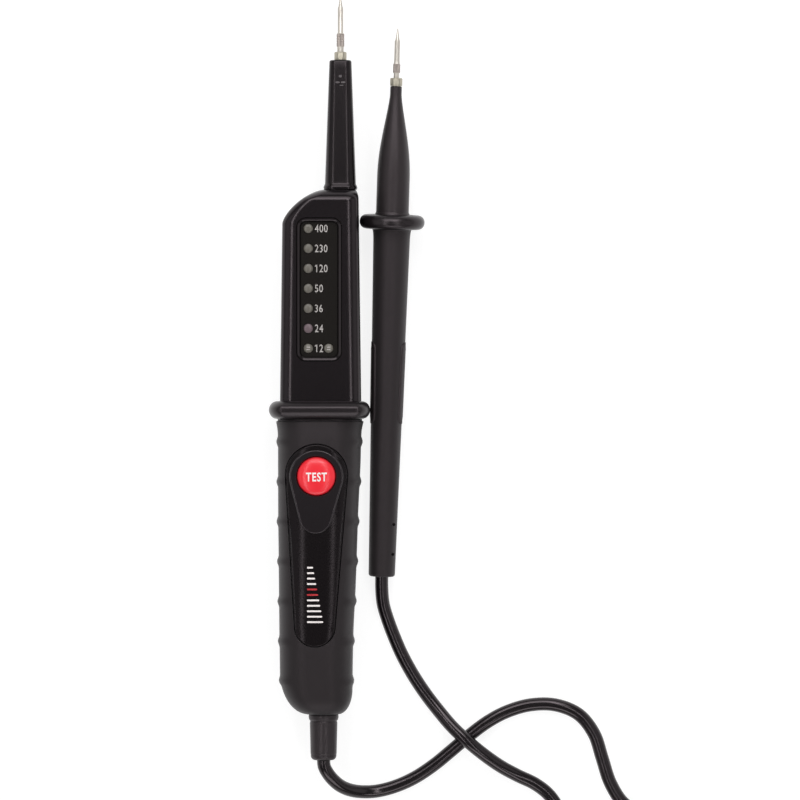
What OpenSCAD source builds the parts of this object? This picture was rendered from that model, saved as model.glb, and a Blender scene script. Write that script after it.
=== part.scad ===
// Two-pole voltage tester: a display housing with a long rubber grip and a fixed
// probe, and a second probe in its own handle at the end of a lead.
// It lies on its back: X runs across, Y towards the probe tips and Z upwards.
// The origin lies under the middle of the finger guard, on the table.

/* [Display housing] */
// Width of the display housing where it meets the finger guard
housing_w = 29.2; // [27:0.2:32]
// Width of the display housing at its top
housing_top_w = 27.2; // [25:0.2:30]
// Depth of the display housing, back to front
housing_d = 22.4; // [20:0.2:24]
// Length of the display housing above the middle of the finger guard
housing_len = 79.2; // [76:0.2:84]
// Thickness of the moulded housing walls
wall = 2; // [1.6:0.1:2.2]
// Length of the sloped left shoulder
shoulder_len = 12.4; // [9:0.2:14]
// Width of the window frame over the row of lamps
window_w = 16.2; // [14:0.2:18]
// Length of the window frame
window_len = 51.4; // [50:0.1:53]
// Distance from the guard's middle to the lower end of the window
window_start = 17.5; // [14:0.5:19]

/* [Indicator lamps] */
// Diameter of one indicator lamp
lamp_d = 3.3; // [2.8:0.1:3.8]
// Distance from one lamp to the next
lamp_pitch = 7.16; // [6.6:0.02:7.2]
// Number of lamps in the long row
lamp_count = 7; // [3:1:7]

/* [Grip] */
// Width of the rubber grip below the finger guard
grip_w = 30.2; // [29:0.2:32]
// Depth of the rubber grip, back to front
grip_d = 26; // [25:0.2:28]
// Length of the rubber grip
grip_len = 105.8; // [100:0.2:112]
// Thickness of the rubber
rubber_t = 2.2; // [1.8:0.1:2.4]
// Height of the ribs round the grip
rib_h = 0.6; // [0.4:0.1:0.9]
// Distance from one rib to the next
rib_pitch = 14.33; // [13:0.01:15]
// Width of the finger guard
guard_w = 36.3; // [35:0.1:40]
// Depth of the finger guard above the table
guard_d = 29.6; // [28:0.2:32]
// Thickness of the finger guard along the tester
guard_t = 6.4; // [5:0.2:7]

/* [Test button] */
// Diameter of the round push button
button_d = 13.7; // [12:0.1:14]
// How far the button goes in
button_travel = 0.8; // [0.4:0.1:1]
// Height of the raised island round the button
island_h = 1.2; // [0.8:0.1:1.6]

/* [Fixed probe] */
// Length of the tapered sleeve that holds the fixed probe
sleeve_len = 46.6; // [40:0.2:50]
// Width of the sleeve at its tip
sleeve_tip_w = 7.9; // [7:0.1:9]
// Width of the sleeve at its root
sleeve_root_w = 11.3; // [10:0.1:12]
// Diameter of the thin metal tip
tip_d = 2; // [1.6:0.1:2.4]
// Length of the bare metal in front of the collar
bare_len = 20.4; // [18:0.2:22]
// Diameter of the grooved seat that a push-on tip grips
seat_d = 2.8; // [2.6:0.1:3.2]

/* [Second probe] */
// Length of the second handle behind its guard disc
handle_len = 128; // [110:1:140]
// Length of the tapered nose in front of the guard disc
nose_len = 48.8; // [42:0.2:54]
// Diameter of the nose behind its taper
nose_d = 11.8; // [11:0.2:13]
// Diameter of the handle at its lower end
handle_end_d = 9.5; // [9:0.1:11]
// Diameter of the guard disc
disc_d = 23.4; // [20:0.2:27]
// Thickness of the guard disc
disc_t = 5.2; // [4:0.2:6]
// Length of the bare metal in front of the second probe's collar
second_bare = 17.8; // [16:0.2:20]
// Diameter of the grooved seat on the second probe
second_seat_d = 2.6; // [2.5:0.1:3]

/* [Lead] */
// Diameter of the lead
lead_d = 4.8; // [4.8:0.1:4.9]
// Length of the strain relief outside the grip
relief_len = 16.6; // [14:0.2:19]

/* [Hidden] */

// Colours of the finishes
gloss_black = [0.12, 0.11, 0.12];
grip_black = [0.21, 0.2, 0.2];
handle_black = [0.24, 0.23, 0.23];
lead_black = [0.13, 0.12, 0.13];
button_red = [0.93, 0.13, 0.16];
nickel = [0.78, 0.75, 0.7];
brass = [0.72, 0.6, 0.36];
lamp_grey = [0.62, 0.6, 0.56];
board_green = [0.1, 0.35, 0.2];
part_beige = [0.8, 0.7, 0.5];

// One overrun for every cut, and the clearances between pieces
over = 1;
fit_gap = 0.1;
seat_gap = 0.3;
joint_gap = 0.25;

// Steps along a rounded corner of a lofted section, along a quarter round and
// round a circle
corner_steps = 8;
arc_steps = 6;
round_steps = 48;

// Heights above the table
table_z = 0;
housing_back = 2.2;
housing_front = housing_back + housing_d;
grip_back = 0.5;
grip_front = grip_back + grip_d;
pin_z = 13.5;
parting_z = 12;
relief_z = 12.8;

// Places across the tester
housing_x = 0.4;
sleeve_x = 7.47;
button_x = -1.05;
relief_x = 1.4;

// Rise of a rounded edge: 0 where it starts and 1 where it ends, power p
function clamp01(u) = min(max(u, 0), 1);
function edge_rise(u, p) = 1 - pow(1 - pow(clamp01(u), p), 1 / p);
function mix(a, b, u) = a + (b - a) * u;
function sign_pow(v, p) = sign(v) * pow(abs(v), p);

// A section is [y, left, right, back, front, corner across, back corner,
// front corner, corner power], and its ring runs round it in the XZ plane. No
// corner takes more than its share of a side, and the table cuts the ring flat
corner_limit_share = 0.47;
function corner_arc(cx, cz, rx, rz, start, p) = [for (i = [0 : corner_steps])
    let (t = start + 90 * i / corner_steps)
    [cx + rx * sign_pow(cos(t), 2 / p), cz + rz * sign_pow(sin(t), 2 / p)]];
function outline_of(s) = let (
    across = min(s[5], (s[2] - s[1]) * corner_limit_share),
    high = (s[4] - s[3]) * corner_limit_share,
    low_corner = min(s[6], high),
    top_corner = min(s[7], high))
    concat(
        corner_arc(s[2] - across, s[4] - top_corner, across, top_corner, 0, s[8]),
        corner_arc(s[1] + across, s[4] - top_corner, across, top_corner, 90, s[8]),
        corner_arc(s[1] + across, s[3] + low_corner, across, low_corner, 180, s[8]),
        corner_arc(s[2] - across, s[3] + low_corner, across, low_corner, 270, s[8]));
function ring_of(s) = [for (q = outline_of(s)) [q[0], s[0], max(q[1], table_z)]];
corner_keep_share = 0.3;
function inset(s, d) = [s[0], s[1] + d, s[2] - d, s[3] + d, s[4] - d,
    max(s[5] - d, s[5] * corner_keep_share), max(s[6] - d, s[6] * corner_keep_share),
    max(s[7] - d, s[7] * corner_keep_share), s[8]];
function moved(s, y) = [for (i = [0 : len(s) - 1]) i == 0 ? y : s[i]];
function front_over(s, x) = s[4]
    - s[7] * edge_rise(max(x - s[2] + s[5], s[1] + s[5] - x, 0) / s[5], s[8]);

// Faces of a closed tube of rings, m rings of n points, in order of falling y
function loft_faces(n, m) = concat(
    [for (j = [0 : m - 2]) for (i = [0 : n - 1]) each [
        [j * n + i, (j + 1) * n + (i + 1) % n, j * n + (i + 1) % n],
        [j * n + i, (j + 1) * n + i, (j + 1) * n + (i + 1) % n]]],
    [[for (i = [0 : n - 1]) i]],
    [[for (i = [n - 1 : -1 : 0]) (m - 1) * n + i]]);

module loft(sections) {
    rings = [for (s = sections) ring_of(s)];
    polyhedron([for (r = rings) each r], loft_faces(len(rings[0]), len(rings)), convexity = 6);
}

// The display housing: straight sides, a sloped left shoulder and a bevelled top
housing_corner = 4.6;
housing_front_corner = 3.4;
housing_back_corner = 4.4;
housing_corner_power = 1.6;
shoulder_power = 1.65;
shoulder_reach = 14.9;
top_bevel_len = 3.4;
top_bevel_drop = 4.4;
side_round_len = 3;
side_round_reach = 1.2;
corner_cap_share = 0.44;
shoulder_shares = [1, 0.98, 0.92, 0.82, 0.68, 0.5, 0.28, 0];

function housing_half(y) = mix(housing_w, housing_top_w, y / housing_len) / 2;
function housing_section(y) = let (
    left = housing_x - housing_half(y)
        + shoulder_reach * edge_rise(1 - (housing_len - y) / shoulder_len, shoulder_power),
    right = housing_x + housing_half(y)
        - side_round_reach * edge_rise(1 - (housing_len - y) / side_round_len, shoulder_power),
    drop = top_bevel_drop * edge_rise(1 - (housing_len - y) / top_bevel_len, shoulder_power))
    [y, left, right, housing_back + drop, housing_front - drop,
        min(housing_corner, (right - left) * corner_cap_share),
        housing_back_corner, housing_front_corner, housing_corner_power];
function housing_sections() = concat(
    [for (u = shoulder_shares) housing_section(housing_len - shoulder_len * (1 - u))],
    [housing_section(0), moved(housing_section(0), -guard_t / 2)]);

// The grip: its two sides, its front and its rounded lower end
grip_gap = 0.4;
grip_start = guard_t / 2 + grip_gap;
left_round_len = 15.1;
left_round_reach = 10;
right_round_len = 8.6;
right_round_reach = 5;
front_round_len = 7;
front_round_drop = 4;
back_round_len = 10;
back_round_rise = 6.2;
grip_corner_share = 0.78;
grip_height_share = 0.42;
grip_corner_power = 2.1;
grip_round_power = 2;
left_shares = [[0, 1.043], [0.041, 1], [0.15, 0.991], [0.31, 0.988], [0.45, 0.977],
    [0.58, 0.969], [0.71, 0.96], [0.82, 0.95], [1, 0.94]];
right_shares = [[0, 1.053], [0.041, 0.998], [0.15, 0.974], [0.31, 0.92], [0.45, 0.887],
    [0.58, 0.854], [0.71, 0.808], [0.82, 0.79], [1, 0.775]];
front_shares = [[0, 0.975], [0.08, 1], [0.5, 1], [0.75, 0.955], [1, 0.88]];

function grip_section(y, lift) = let (
    run = -grip_start - y,
    s = run / grip_len,
    left = -grip_w / 2 * lookup(s, left_shares)
        + left_round_reach
            * edge_rise(1 - (grip_len - run) / left_round_len, grip_round_power) - lift,
    right = grip_w / 2 * lookup(s, right_shares)
        - right_round_reach
            * edge_rise(1 - (grip_len - run) / right_round_len, grip_round_power) + lift,
    back = grip_back
        + back_round_rise
            * edge_rise(1 - (grip_len - run) / back_round_len, grip_round_power) - lift,
    front = grip_back + grip_d * lookup(s, front_shares)
        - front_round_drop
            * edge_rise(1 - (grip_len - run) / front_round_len, grip_round_power))
    [y, left, right, back, front, (right - left) / 2 * grip_corner_share,
        (front - back) * grip_height_share, (front - back) * grip_height_share,
        grip_corner_power];

// Ribs round the sides and the back of the grip
rib_count = 7;
rib_len = 4.2;
rib_first = 11.4;
rib_step_shares = [0.5, 0.22, 0, -0.22, -0.5];
function rib_y(i) = -rib_first - rib_pitch * i;
function rib_lift(dy) = rib_h * pow(cos(180 * dy / rib_len), 2);
flare_shares = [0, 0.016, 0.041];
end_shares = [0.915, 0.938, 0.957, 0.973, 0.986, 0.995, 1];
function grip_sections() = concat(
    [for (u = flare_shares) grip_section(-grip_start - grip_len * u, 0)],
    [for (i = [0 : rib_count - 1]) for (u = rib_step_shares)
        grip_section(rib_y(i) + rib_len * u, rib_lift(rib_len * u))],
    [for (u = end_shares) grip_section(-grip_start - grip_len * u, 0)]);

// The core of the grip, under the rubber, and the hollow inside it
core_shares = [0, 0.041, 0.15, 0.31, 0.5, 0.71, 0.86, 0.92, 0.96, 0.985, 1];
core_step = 0.6;
function core_y(u) = -guard_t / 2 - core_step
    - (grip_len + grip_gap - core_step - rubber_t) * u;
function core_sections() = [for (u = core_shares)
    moved(inset(grip_section(-grip_start - grip_len * u, 0), rubber_t), core_y(u))];
function hollow_sections(d) = concat(
    [for (u = shoulder_shares) let (y = housing_len - d - (shoulder_len - d) * (1 - u))
        moved(inset(housing_section(housing_len - shoulder_len * (1 - u)), d), y)],
    [inset(housing_section(0), d)],
    [for (u = core_shares) let (full = core_y(1) - core_y(0))
        moved(inset(grip_section(-grip_start - grip_len * u, 0), rubber_t + d),
            core_y(0) + (full + d) * u)]);

module core_solid() loft(concat(housing_sections(), core_sections()));
module core_hollow() loft(hollow_sections(wall));

// A slab that reaches past the whole tester, from height z0 to z1
span = 400;
module slab(z0, z1) translate([-span / 2, -span / 2, z0]) cube([span, span, z1 - z0]);

// Outline round two circles and their common tangents: [x, y, r] each, y1 > y2
function two_circles(a, b) = let (
    d = norm([b[0] - a[0], b[1] - a[1]]),
    turn = atan2(a[1] - b[1], a[0] - b[0]),
    lean = asin((a[2] - b[2]) / d))
    concat(
        [for (i = [0 : round_steps]) let (t = turn - 90 - lean + (180 + 2 * lean) * i / round_steps)
            [a[0] + a[2] * cos(t), a[1] + a[2] * sin(t)]],
        [for (i = [0 : round_steps]) let (t = turn + 90 + lean + (180 - 2 * lean) * i / round_steps)
            [b[0] + b[2] * cos(t), b[1] + b[2] * sin(t)]]);

// A rounded rectangle centred on the origin
module rounded_plate(w, l, r, h) linear_extrude(height = h) {
    square([w - 2 * r, l], center = true);
    square([w, l - 2 * r], center = true);
    for (sx = [-1, 1], sy = [-1, 1]) translate([sx * (w / 2 - r), sy * (l / 2 - r)])
        circle(r = r, $fn = round_steps);
}

// A cylinder or a turned profile that points along +Y
module along_y(x, y, z) translate([x, y, z]) rotate([-90, 0, 0]) children();

// Button, island and inlay, seen from the front
button_y = -23.7;
button_r = button_d / 2;
button_hole_r = button_r + joint_gap;
island_top_r = 9.7;
island_low_r = 5.9;
island_drop = 0.2;
island_len = 14.7;
island_lean = 0.3;
island_top = [button_x, button_y - island_drop, island_top_r];
island_low = [button_x - island_lean, button_y - island_len, island_low_r];
inlay_top_r = 11.1;
inlay_low_r = 7.2;
inlay_rise = 0.3;
inlay_len = 53.9;
inlay_lean = 0.6;
inlay_top = [button_x, button_y + inlay_rise, inlay_top_r];
inlay_low = [button_x - inlay_lean, button_y - inlay_len, inlay_low_r];
inlay_lift = 0.25;
island_z = grip_front + island_h;

// The pin's shank inside the housing, and the clip on its end
shank_r = 1.6;
shank_in = 7;
clip_t = 0.6;
clip_len = 3;
clip_r = shank_r + fit_gap + clip_t;
clip_back = housing_len - shank_in - fit_gap - clip_t;

// Screw bosses between the two shells
screw_r = 1.3;
boss_r = 2.8;
post_r = 2.2;
head_r = 2.6;
head_h = 1.6;
head_deep = 2.2;
boss_top_x = -2.6;
boss_top_gap = 7.8;
boss_low_y = 9.4;
boss_low_left = -6.4;
boss_low_right = 7.2;
boss_high_y = housing_len - boss_top_gap;
boss_places = [[boss_top_x, boss_high_y], [boss_low_left, boss_low_y],
    [boss_low_right, boss_low_y]];

// Board, switch and what stands on it
board_t = 1.6;
board_bottom = 11.2;
board_top = board_bottom + board_t;
board_w = 18.4;
board_side = 0.6;
board_past = 22.3;
board_rim = 0.4;
board_low = button_y - board_past;
board_high = clip_back - clip_len;
tongue_left = boss_top_x - post_r - board_rim;
tongue_right = sleeve_x - clip_r - board_rim;
tongue_high = boss_high_y + post_r + board_rim;
switch_w = 6;
switch_h = 3.6;
switch_wall = 0.8;
plunger_r = 1.7;
plunger_h = 1.3;
plunger_rest = 0.45;
plunger_hole = switch_wall + fit_gap / 2 + button_travel + plunger_rest;
plunger_top = board_top + switch_h + plunger_h;

module at_bosses() for (p = boss_places) translate([p[0], p[1], 0]) children();

// Window over the lamps
window_x = -0.1;
window_y = window_start + window_len / 2;
window_r = 3.4;
frame_wall = 1.5;
frame_lift = 0.3;
panel_t = 1.4;
panel_deep = 1.2;
panel_front = housing_front - panel_deep;
panel_back = panel_front - panel_t;
ledge_w = 1;
ledge_end = 0.4;
ledge_t = 0.8;
frame_back = panel_back - ledge_t;
panel_w = window_w - 2 * frame_wall - 2 * fit_gap;
panel_len = window_len - 2 * frame_wall - 2 * fit_gap;
lamp_in = 4.22;
lamp_up = 4.6;
lamp_side = 7.3;
lamp_x = window_x - window_w / 2 + lamp_in;
lamp_low_y = window_start + lamp_up;
lamp_spots = concat([for (i = [0 : lamp_count - 1]) [lamp_x, lamp_low_y + lamp_pitch * i]],
    [[lamp_x + lamp_side, lamp_low_y]]);

module window_cut() translate([window_x, window_y, frame_back - over])
    rounded_plate(window_w + 2 * fit_gap, window_len + 2 * fit_gap, window_r + fit_gap,
        housing_front - frame_back + 2 * over);

// Relief opening at the lower end of the housing and the grip
relief_end = -grip_start - grip_len;
relief_neck_r = 4.2;
relief_hole_r = relief_neck_r + fit_gap;
relief_flange_r = 5.2;
relief_pocket_len = 8;
module relief_hole() {
    along_y(relief_x, relief_end - over, relief_z)
        cylinder(r = relief_hole_r, h = rubber_t + wall + 3 * over, $fn = round_steps);
    along_y(relief_x, relief_end + rubber_t + wall, relief_z)
        cylinder(r = relief_flange_r + fit_gap, h = relief_pocket_len, $fn = round_steps);
}

// Opening for the pin's shank in the top of the housing
module shank_hole() along_y(sleeve_x, housing_len - wall - over, pin_z)
    cylinder(r = shank_r + fit_gap, h = wall + 2 * over, $fn = round_steps);

module front_shell() color(gloss_black) {
    difference() {
        core_solid();
        core_hollow();
        slab(-span, parting_z + fit_gap / 2);
        window_cut();
        relief_hole();
        shank_hole();
        translate([button_x, button_y, parting_z])
            cylinder(r = button_hole_r, h = grip_d, $fn = round_steps);
    }
    at_bosses() difference() {
        translate([0, 0, board_top + fit_gap])
            cylinder(r = post_r, h = housing_front - wall - board_top, $fn = round_steps);
        translate([0, 0, board_top - over])
            cylinder(r = screw_r, h = housing_d / 3, $fn = round_steps);
    }
}

module rear_shell() color(gloss_black) difference() {
    union() {
        difference() {
            core_solid();
            core_hollow();
            slab(parting_z - fit_gap / 2, span);
            relief_hole();
            shank_hole();
        }
        at_bosses() translate([0, 0, housing_back + wall / 2])
            cylinder(r = boss_r, h = board_bottom - housing_back - wall / 2 - fit_gap,
                $fn = round_steps);
    }
    at_bosses() {
        cylinder(r = screw_r + fit_gap, h = parting_z, $fn = round_steps);
        cylinder(r = head_r + fit_gap, h = housing_back + head_deep, $fn = round_steps);
    }
}

// Cross-headed screws from the back into the posts of the front shell
screw_slot_w = 0.7;
screw_slot_l = 3.2;
screw_slot_deep = 0.8;
module housing_screws() color(nickel) at_bosses() difference() {
    union() {
        translate([0, 0, housing_back + head_deep - head_h])
            cylinder(r = head_r, h = head_h, $fn = round_steps);
        translate([0, 0, housing_back + head_deep - fit_gap])
            cylinder(r = screw_r - fit_gap, h = housing_d / 2, $fn = round_steps);
    }
    for (turn = [0, 90]) rotate([0, 0, turn])
        translate([-screw_slot_l / 2, -screw_slot_w / 2, housing_back + head_deep - head_h - over])
            cube([screw_slot_l, screw_slot_w, screw_slot_deep + over]);
}

// The tapered sleeve of the fixed probe, with a ring at its root
sleeve_tip_y = housing_len + sleeve_len;
sleeve_round = 1.6;
sleeve_root_d = 13.4;
sleeve_corner_share = 0.4;
sleeve_corner_power = 2;
ring_len = 1.4;
ring_slope = 0.84;
ring_proud = 0.45;
function sleeve_section(y, grow) = let (
    u = (y - housing_len) / sleeve_len,
    hw = mix(sleeve_root_w, sleeve_tip_w, u) / 2 + grow,
    hd = mix(sleeve_root_d, sleeve_tip_w, u) / 2 + grow)
    [y, sleeve_x - hw, sleeve_x + hw, pin_z - hd, pin_z + hd, hw * 2 * sleeve_corner_share,
        hd * 2 * sleeve_corner_share, hd * 2 * sleeve_corner_share, sleeve_corner_power];
sleeve_end_shares = [0, 0.1, 0.35, 0.7];
function sleeve_sections() = concat(
    [for (u = sleeve_end_shares) sleeve_section(sleeve_tip_y - sleeve_round * u,
        -sleeve_round * (1 - sqrt(1 - pow(1 - u, 2))))],
    [sleeve_section(sleeve_tip_y - sleeve_round, 0),
        sleeve_section(housing_len + ring_len + ring_slope, 0),
        sleeve_section(housing_len + ring_len, ring_proud),
        sleeve_section(housing_len + fit_gap, ring_proud)]);

module probe_sleeve() color(gloss_black) difference() {
    loft(sleeve_sections());
    along_y(sleeve_x, housing_len - over, pin_z)
        cylinder(r = shank_r + fit_gap, h = sleeve_len + 2 * over, $fn = round_steps);
}

// A metal probe pin that points along +Z from its collar's face: a smooth neck, a
// seat, a taper, a thin tip with a needle point, and a shank behind it. A seat is
// [radius, length], and a taper is a length
neck_len = 1.8;
cone_len = 4.3;
cone_root_share = 0.78;
point_r = 0.15;
module metal_pin(bare, thin_r, neck_r, seat, taper, shank) {
    seat_end = neck_len + seat[1];
    rotate_extrude($fn = round_steps) polygon([
        [0, -shank], [shank_r, -shank], [shank_r, 0], [neck_r, 0],
        [neck_r, neck_len], [seat[0], neck_len], [seat[0], seat_end],
        [thin_r, seat_end + taper], [thin_r, bare - cone_len],
        [thin_r * cone_root_share, bare - cone_len], [point_r, bare], [0, bare]]);
}

// The ferrule behind a pin's neck, with six shallow flats on its front part
collar_r = 2.2;
collar_len = 2.9;
collar_edge = 0.4;
collar_back = 0.8;
collar_flat_share = 0.92;
module metal_collar() difference() {
    union() {
        cylinder(r = collar_r, h = collar_back, $fn = round_steps);
        intersection() {
            rotate_extrude($fn = round_steps) polygon([[0, 0], [collar_r, 0],
                [collar_r, collar_len - collar_edge], [collar_r - collar_edge, collar_len],
                [0, collar_len]]);
            cylinder(r = collar_r * collar_flat_share / cos(30), h = collar_len, $fn = 6);
        }
    }
    translate([0, 0, -over]) cylinder(r = shank_r + fit_gap / 2, h = collar_len + 2 * over,
        $fn = round_steps);
}

// The fixed pin in its sleeve
neck_r = 1.2;
seat_len = 4.7;
seat_taper = 0.5;
collar_y = sleeve_tip_y + fit_gap;
module probe_pin() color(nickel) along_y(sleeve_x, collar_y + collar_len, pin_z)
    metal_pin(bare_len, tip_d / 2, neck_r, [seat_d / 2, seat_len], seat_taper,
        collar_y + collar_len - housing_len + shank_in);
module pin_collar() color(brass) along_y(sleeve_x, collar_y, pin_z) metal_collar();

// Brass clip that takes the pin's shank to the board: a cup with a tongue
module pin_clip() color(brass) difference() {
    union() {
        along_y(sleeve_x, clip_back, pin_z)
            cylinder(r = clip_r, h = clip_t + fit_gap + clip_len, $fn = round_steps);
        translate([sleeve_x - shank_r, clip_back - 2 * clip_len, board_top + fit_gap / 2])
            cube([2 * shank_r, 2 * clip_len + clip_t / 2, clip_t]);
    }
    along_y(sleeve_x, clip_back + clip_t, pin_z)
        cylinder(r = shank_r + fit_gap / 2, h = clip_len + over, $fn = round_steps);
}

module window_frame() color(gloss_black) translate([window_x, window_y, 0]) difference() {
    translate([0, 0, frame_back])
        rounded_plate(window_w, window_len, window_r, housing_front + frame_lift - frame_back);
    translate([0, 0, panel_back])
        rounded_plate(window_w - 2 * frame_wall, window_len - 2 * frame_wall,
            window_r - frame_wall, housing_front - panel_back + over);
    translate([0, 0, frame_back - over])
        rounded_plate(window_w - 2 * frame_wall - 2 * ledge_w,
            window_len - 2 * frame_wall - 2 * ledge_end, ledge_end, panel_t + 2 * over);
}

module display_panel() color(gloss_black) difference() {
    translate([window_x, window_y, panel_back + fit_gap / 2])
        rounded_plate(panel_w, panel_len, window_r - frame_wall - fit_gap, panel_t);
    for (p = lamp_spots) translate([p[0], p[1], panel_back - over])
        cylinder(r = lamp_d / 2 + fit_gap, h = panel_t + 2 * over, $fn = round_steps);
}

// Indicator lamps: a barrel with a low dome, a rim and two legs to the board
lamp_rise = 0.5;
lamp_barrel = 4.4;
lamp_rim = 0.35;
lamp_rim_t = 0.8;
lamp_leg_r = 0.25;
lamp_leg_x = 1.27;
lamp_top = panel_front + lamp_rise;
module one_lamp() {
    base = lamp_top - lamp_barrel - lamp_rise;
    r = lamp_d / 2;
    translate([0, 0, base]) rotate_extrude($fn = round_steps) polygon(concat(
        [[0, 0], [r + lamp_rim, 0], [r + lamp_rim, lamp_rim_t], [r, lamp_rim_t]],
        [for (i = [0 : arc_steps]) let (t = 90 * i / arc_steps)
            [r * cos(t), lamp_barrel + lamp_rise * sin(t)]]));
    for (sx = [-1, 1]) translate([sx * lamp_leg_x, 0, board_top + fit_gap / 2])
        cylinder(r = lamp_leg_r, h = base - board_top, $fn = 16);
}
module lamps() color(lamp_grey) for (p = lamp_spots) translate([p[0], p[1], 0]) one_lamp();

// The board rests on the rear bosses and is held by the front posts
module circuit_board() color(board_green) difference() {
    union() {
        translate([button_x - board_w / 2 + board_side, board_low, board_bottom])
            cube([board_w, board_high - board_low, board_t]);
        translate([tongue_left, board_high - over, board_bottom])
            cube([tongue_right - tongue_left, tongue_high - board_high + over, board_t]);
    }
    at_bosses() cylinder(r = screw_r + fit_gap, h = span, $fn = round_steps);
}

resistor_r = 1.2;
resistor_len = 6.4;
resistor_count = 6;
module board_resistors() color(part_beige) for (i = [0 : resistor_count - 1])
    translate([-resistor_len / 2, lamp_low_y + lamp_pitch * i,
        board_bottom - resistor_r - fit_gap / 2])
        rotate([0, 90, 0]) cylinder(r = resistor_r, h = resistor_len, $fn = round_steps);

chip_w = 7;
chip_len = 10;
chip_t = 1.6;
module logic_chip() color(gloss_black) translate([-chip_w / 2, -chip_len / 2, board_top + fit_gap / 2])
    cube([chip_w, chip_len, chip_t]);

module switch_body() color(gloss_black) translate([button_x, button_y, board_top + fit_gap / 2])
    difference() {
        translate([-switch_w / 2, -switch_w / 2, 0]) cube([switch_w, switch_w, switch_h]);
        translate([0, 0, switch_wall])
            cylinder(r = plunger_r + joint_gap, h = switch_h, $fn = round_steps);
    }

module switch_plunger() color(part_beige)
    translate([button_x, button_y, plunger_top - plunger_h - switch_h + plunger_hole])
        cylinder(r = plunger_r, h = plunger_h + switch_h - plunger_hole, $fn = round_steps);

// The button: a domed cap, a flange under the shell and a stem on the plunger
flange_lip = 0.8;
flange_r = button_r + flange_lip;
flange_t = 1.2;
button_hollow = inset(grip_section(button_y, 0), rubber_t + wall);
flange_top = min(front_over(button_hollow, button_x - flange_r),
    front_over(button_hollow, button_x + flange_r)) - seat_gap;
stem_r = 2.2;
dome_rise = 1.9;
cap_rise = 1;
cap_z = island_z + cap_rise - flange_top;
dome_steps = 10;
module test_button() color(button_red) translate([button_x, button_y, flange_top])
    rotate_extrude($fn = round_steps) polygon(concat(
        [[0, plunger_top + fit_gap - flange_top], [stem_r, plunger_top + fit_gap - flange_top],
            [stem_r, -flange_t], [flange_r, -flange_t], [flange_r, 0], [button_r, 0],
            [button_r, cap_z - dome_rise]],
        [for (i = [1 : dome_steps]) let (t = 90 * i / dome_steps)
            [button_r * cos(t), cap_z - dome_rise + dome_rise * sin(t)]]));

// The finger guard: a rounded flange with a flat back, slipped over the housing
guard_sink = 1;
guard_rim = 2.3;
guard_corner_share = 0.7;
guard_height_share = 0.46;
guard_power = 2.4;
guard_shares = [1, 0.96, 0.8, 0.45, 0, -0.45, -0.8, -0.96, -1];
function guard_section(u) = let (
    pull = guard_rim * edge_rise(abs(u), guard_power),
    back = pull - guard_sink,
    front = guard_d - pull)
    [guard_t / 2 * u, pull - guard_w / 2, guard_w / 2 - pull, back, front,
        (guard_w / 2 - pull) * guard_corner_share, (front - back) * guard_height_share,
        (front - back) * guard_height_share, grip_corner_power];
module finger_guard() color(grip_black) difference() {
    loft([for (u = guard_shares) guard_section(u)]);
    loft([moved(inset(housing_section(0), -fit_gap), guard_t),
        moved(inset(housing_section(0), -fit_gap), -guard_t)]);
}

module grip_sleeve() color(grip_black) difference() {
    loft(grip_sections());
    loft(concat([moved(inset(core_sections()[0], -fit_gap), over)],
        [for (s = core_sections()) inset(s, -fit_gap)]));
    translate([0, 0, parting_z]) linear_extrude(height = grip_d)
        polygon(two_circles([inlay_top[0], inlay_top[1], inlay_top[2] + fit_gap],
            [inlay_low[0], inlay_low[1], inlay_low[2] + fit_gap]));
    relief_hole();
}

// The glossy inlay follows the front of the grip and lies a little proud of it
inlay_sections = [for (u = core_shares) let (y = -grip_start - grip_len * u)
    inset(grip_section(y, 0), -inlay_lift)];
module grip_inlay() color(gloss_black) difference() {
    intersection() {
        loft(inlay_sections);
        translate([0, 0, parting_z]) linear_extrude(height = grip_d)
            polygon(two_circles(inlay_top, inlay_low));
    }
    loft([for (s = core_sections()) inset(s, -fit_gap)]);
    translate([button_x, button_y, parting_z])
        cylinder(r = button_hole_r, h = grip_d, $fn = round_steps);
}

// The raised island carries the button's collar
module button_island() color(gloss_black) difference() {
    translate([0, 0, parting_z]) linear_extrude(height = island_z - parting_z)
        polygon(two_circles(island_top, island_low));
    loft([for (s = inlay_sections) inset(s, -fit_gap / 2)]);
    translate([button_x, button_y, parting_z])
        cylinder(r = button_hole_r, h = grip_d, $fn = round_steps);
}

// Strain relief: collar, groove, tapered sleeve with a rounded end, and a flange inside
relief_collar_r = 5.4;
relief_collar_len = 2.9;
relief_groove = 0.6;
relief_root_r = 4.9;
relief_tip_r = 4.65;
relief_round = 2.2;
relief_flange_t = 1.2;
relief_inside = rubber_t + wall + seat_gap;
relief_bore_r = lead_d / 2 + fit_gap;
lead_r = lead_d / 2;
module strain_relief() color(lead_black) translate([relief_x, relief_end, relief_z])
    rotate([90, 0, 0]) difference() {
        rotate_extrude($fn = round_steps) polygon(concat(
            [[0, -relief_inside - relief_flange_t], [relief_flange_r, -relief_inside - relief_flange_t],
                [relief_flange_r, -relief_inside], [relief_neck_r, -relief_inside],
                [relief_neck_r, fit_gap], [relief_collar_r, fit_gap],
                [relief_collar_r - fit_gap, relief_collar_len],
                [relief_root_r - relief_groove, relief_collar_len],
                [relief_root_r - relief_groove, relief_collar_len + relief_groove],
                [relief_root_r, relief_collar_len + relief_groove]],
            [for (i = [0 : arc_steps]) let (t = 90 * i / arc_steps)
                [relief_tip_r - relief_round * (1 - cos(t)),
                    relief_len - relief_round + relief_round * sin(t)]],
            [[0, relief_len]]));
        translate([0, 0, -relief_len])
            cylinder(r = relief_bore_r, h = 3 * relief_len, $fn = round_steps);
    }

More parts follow.
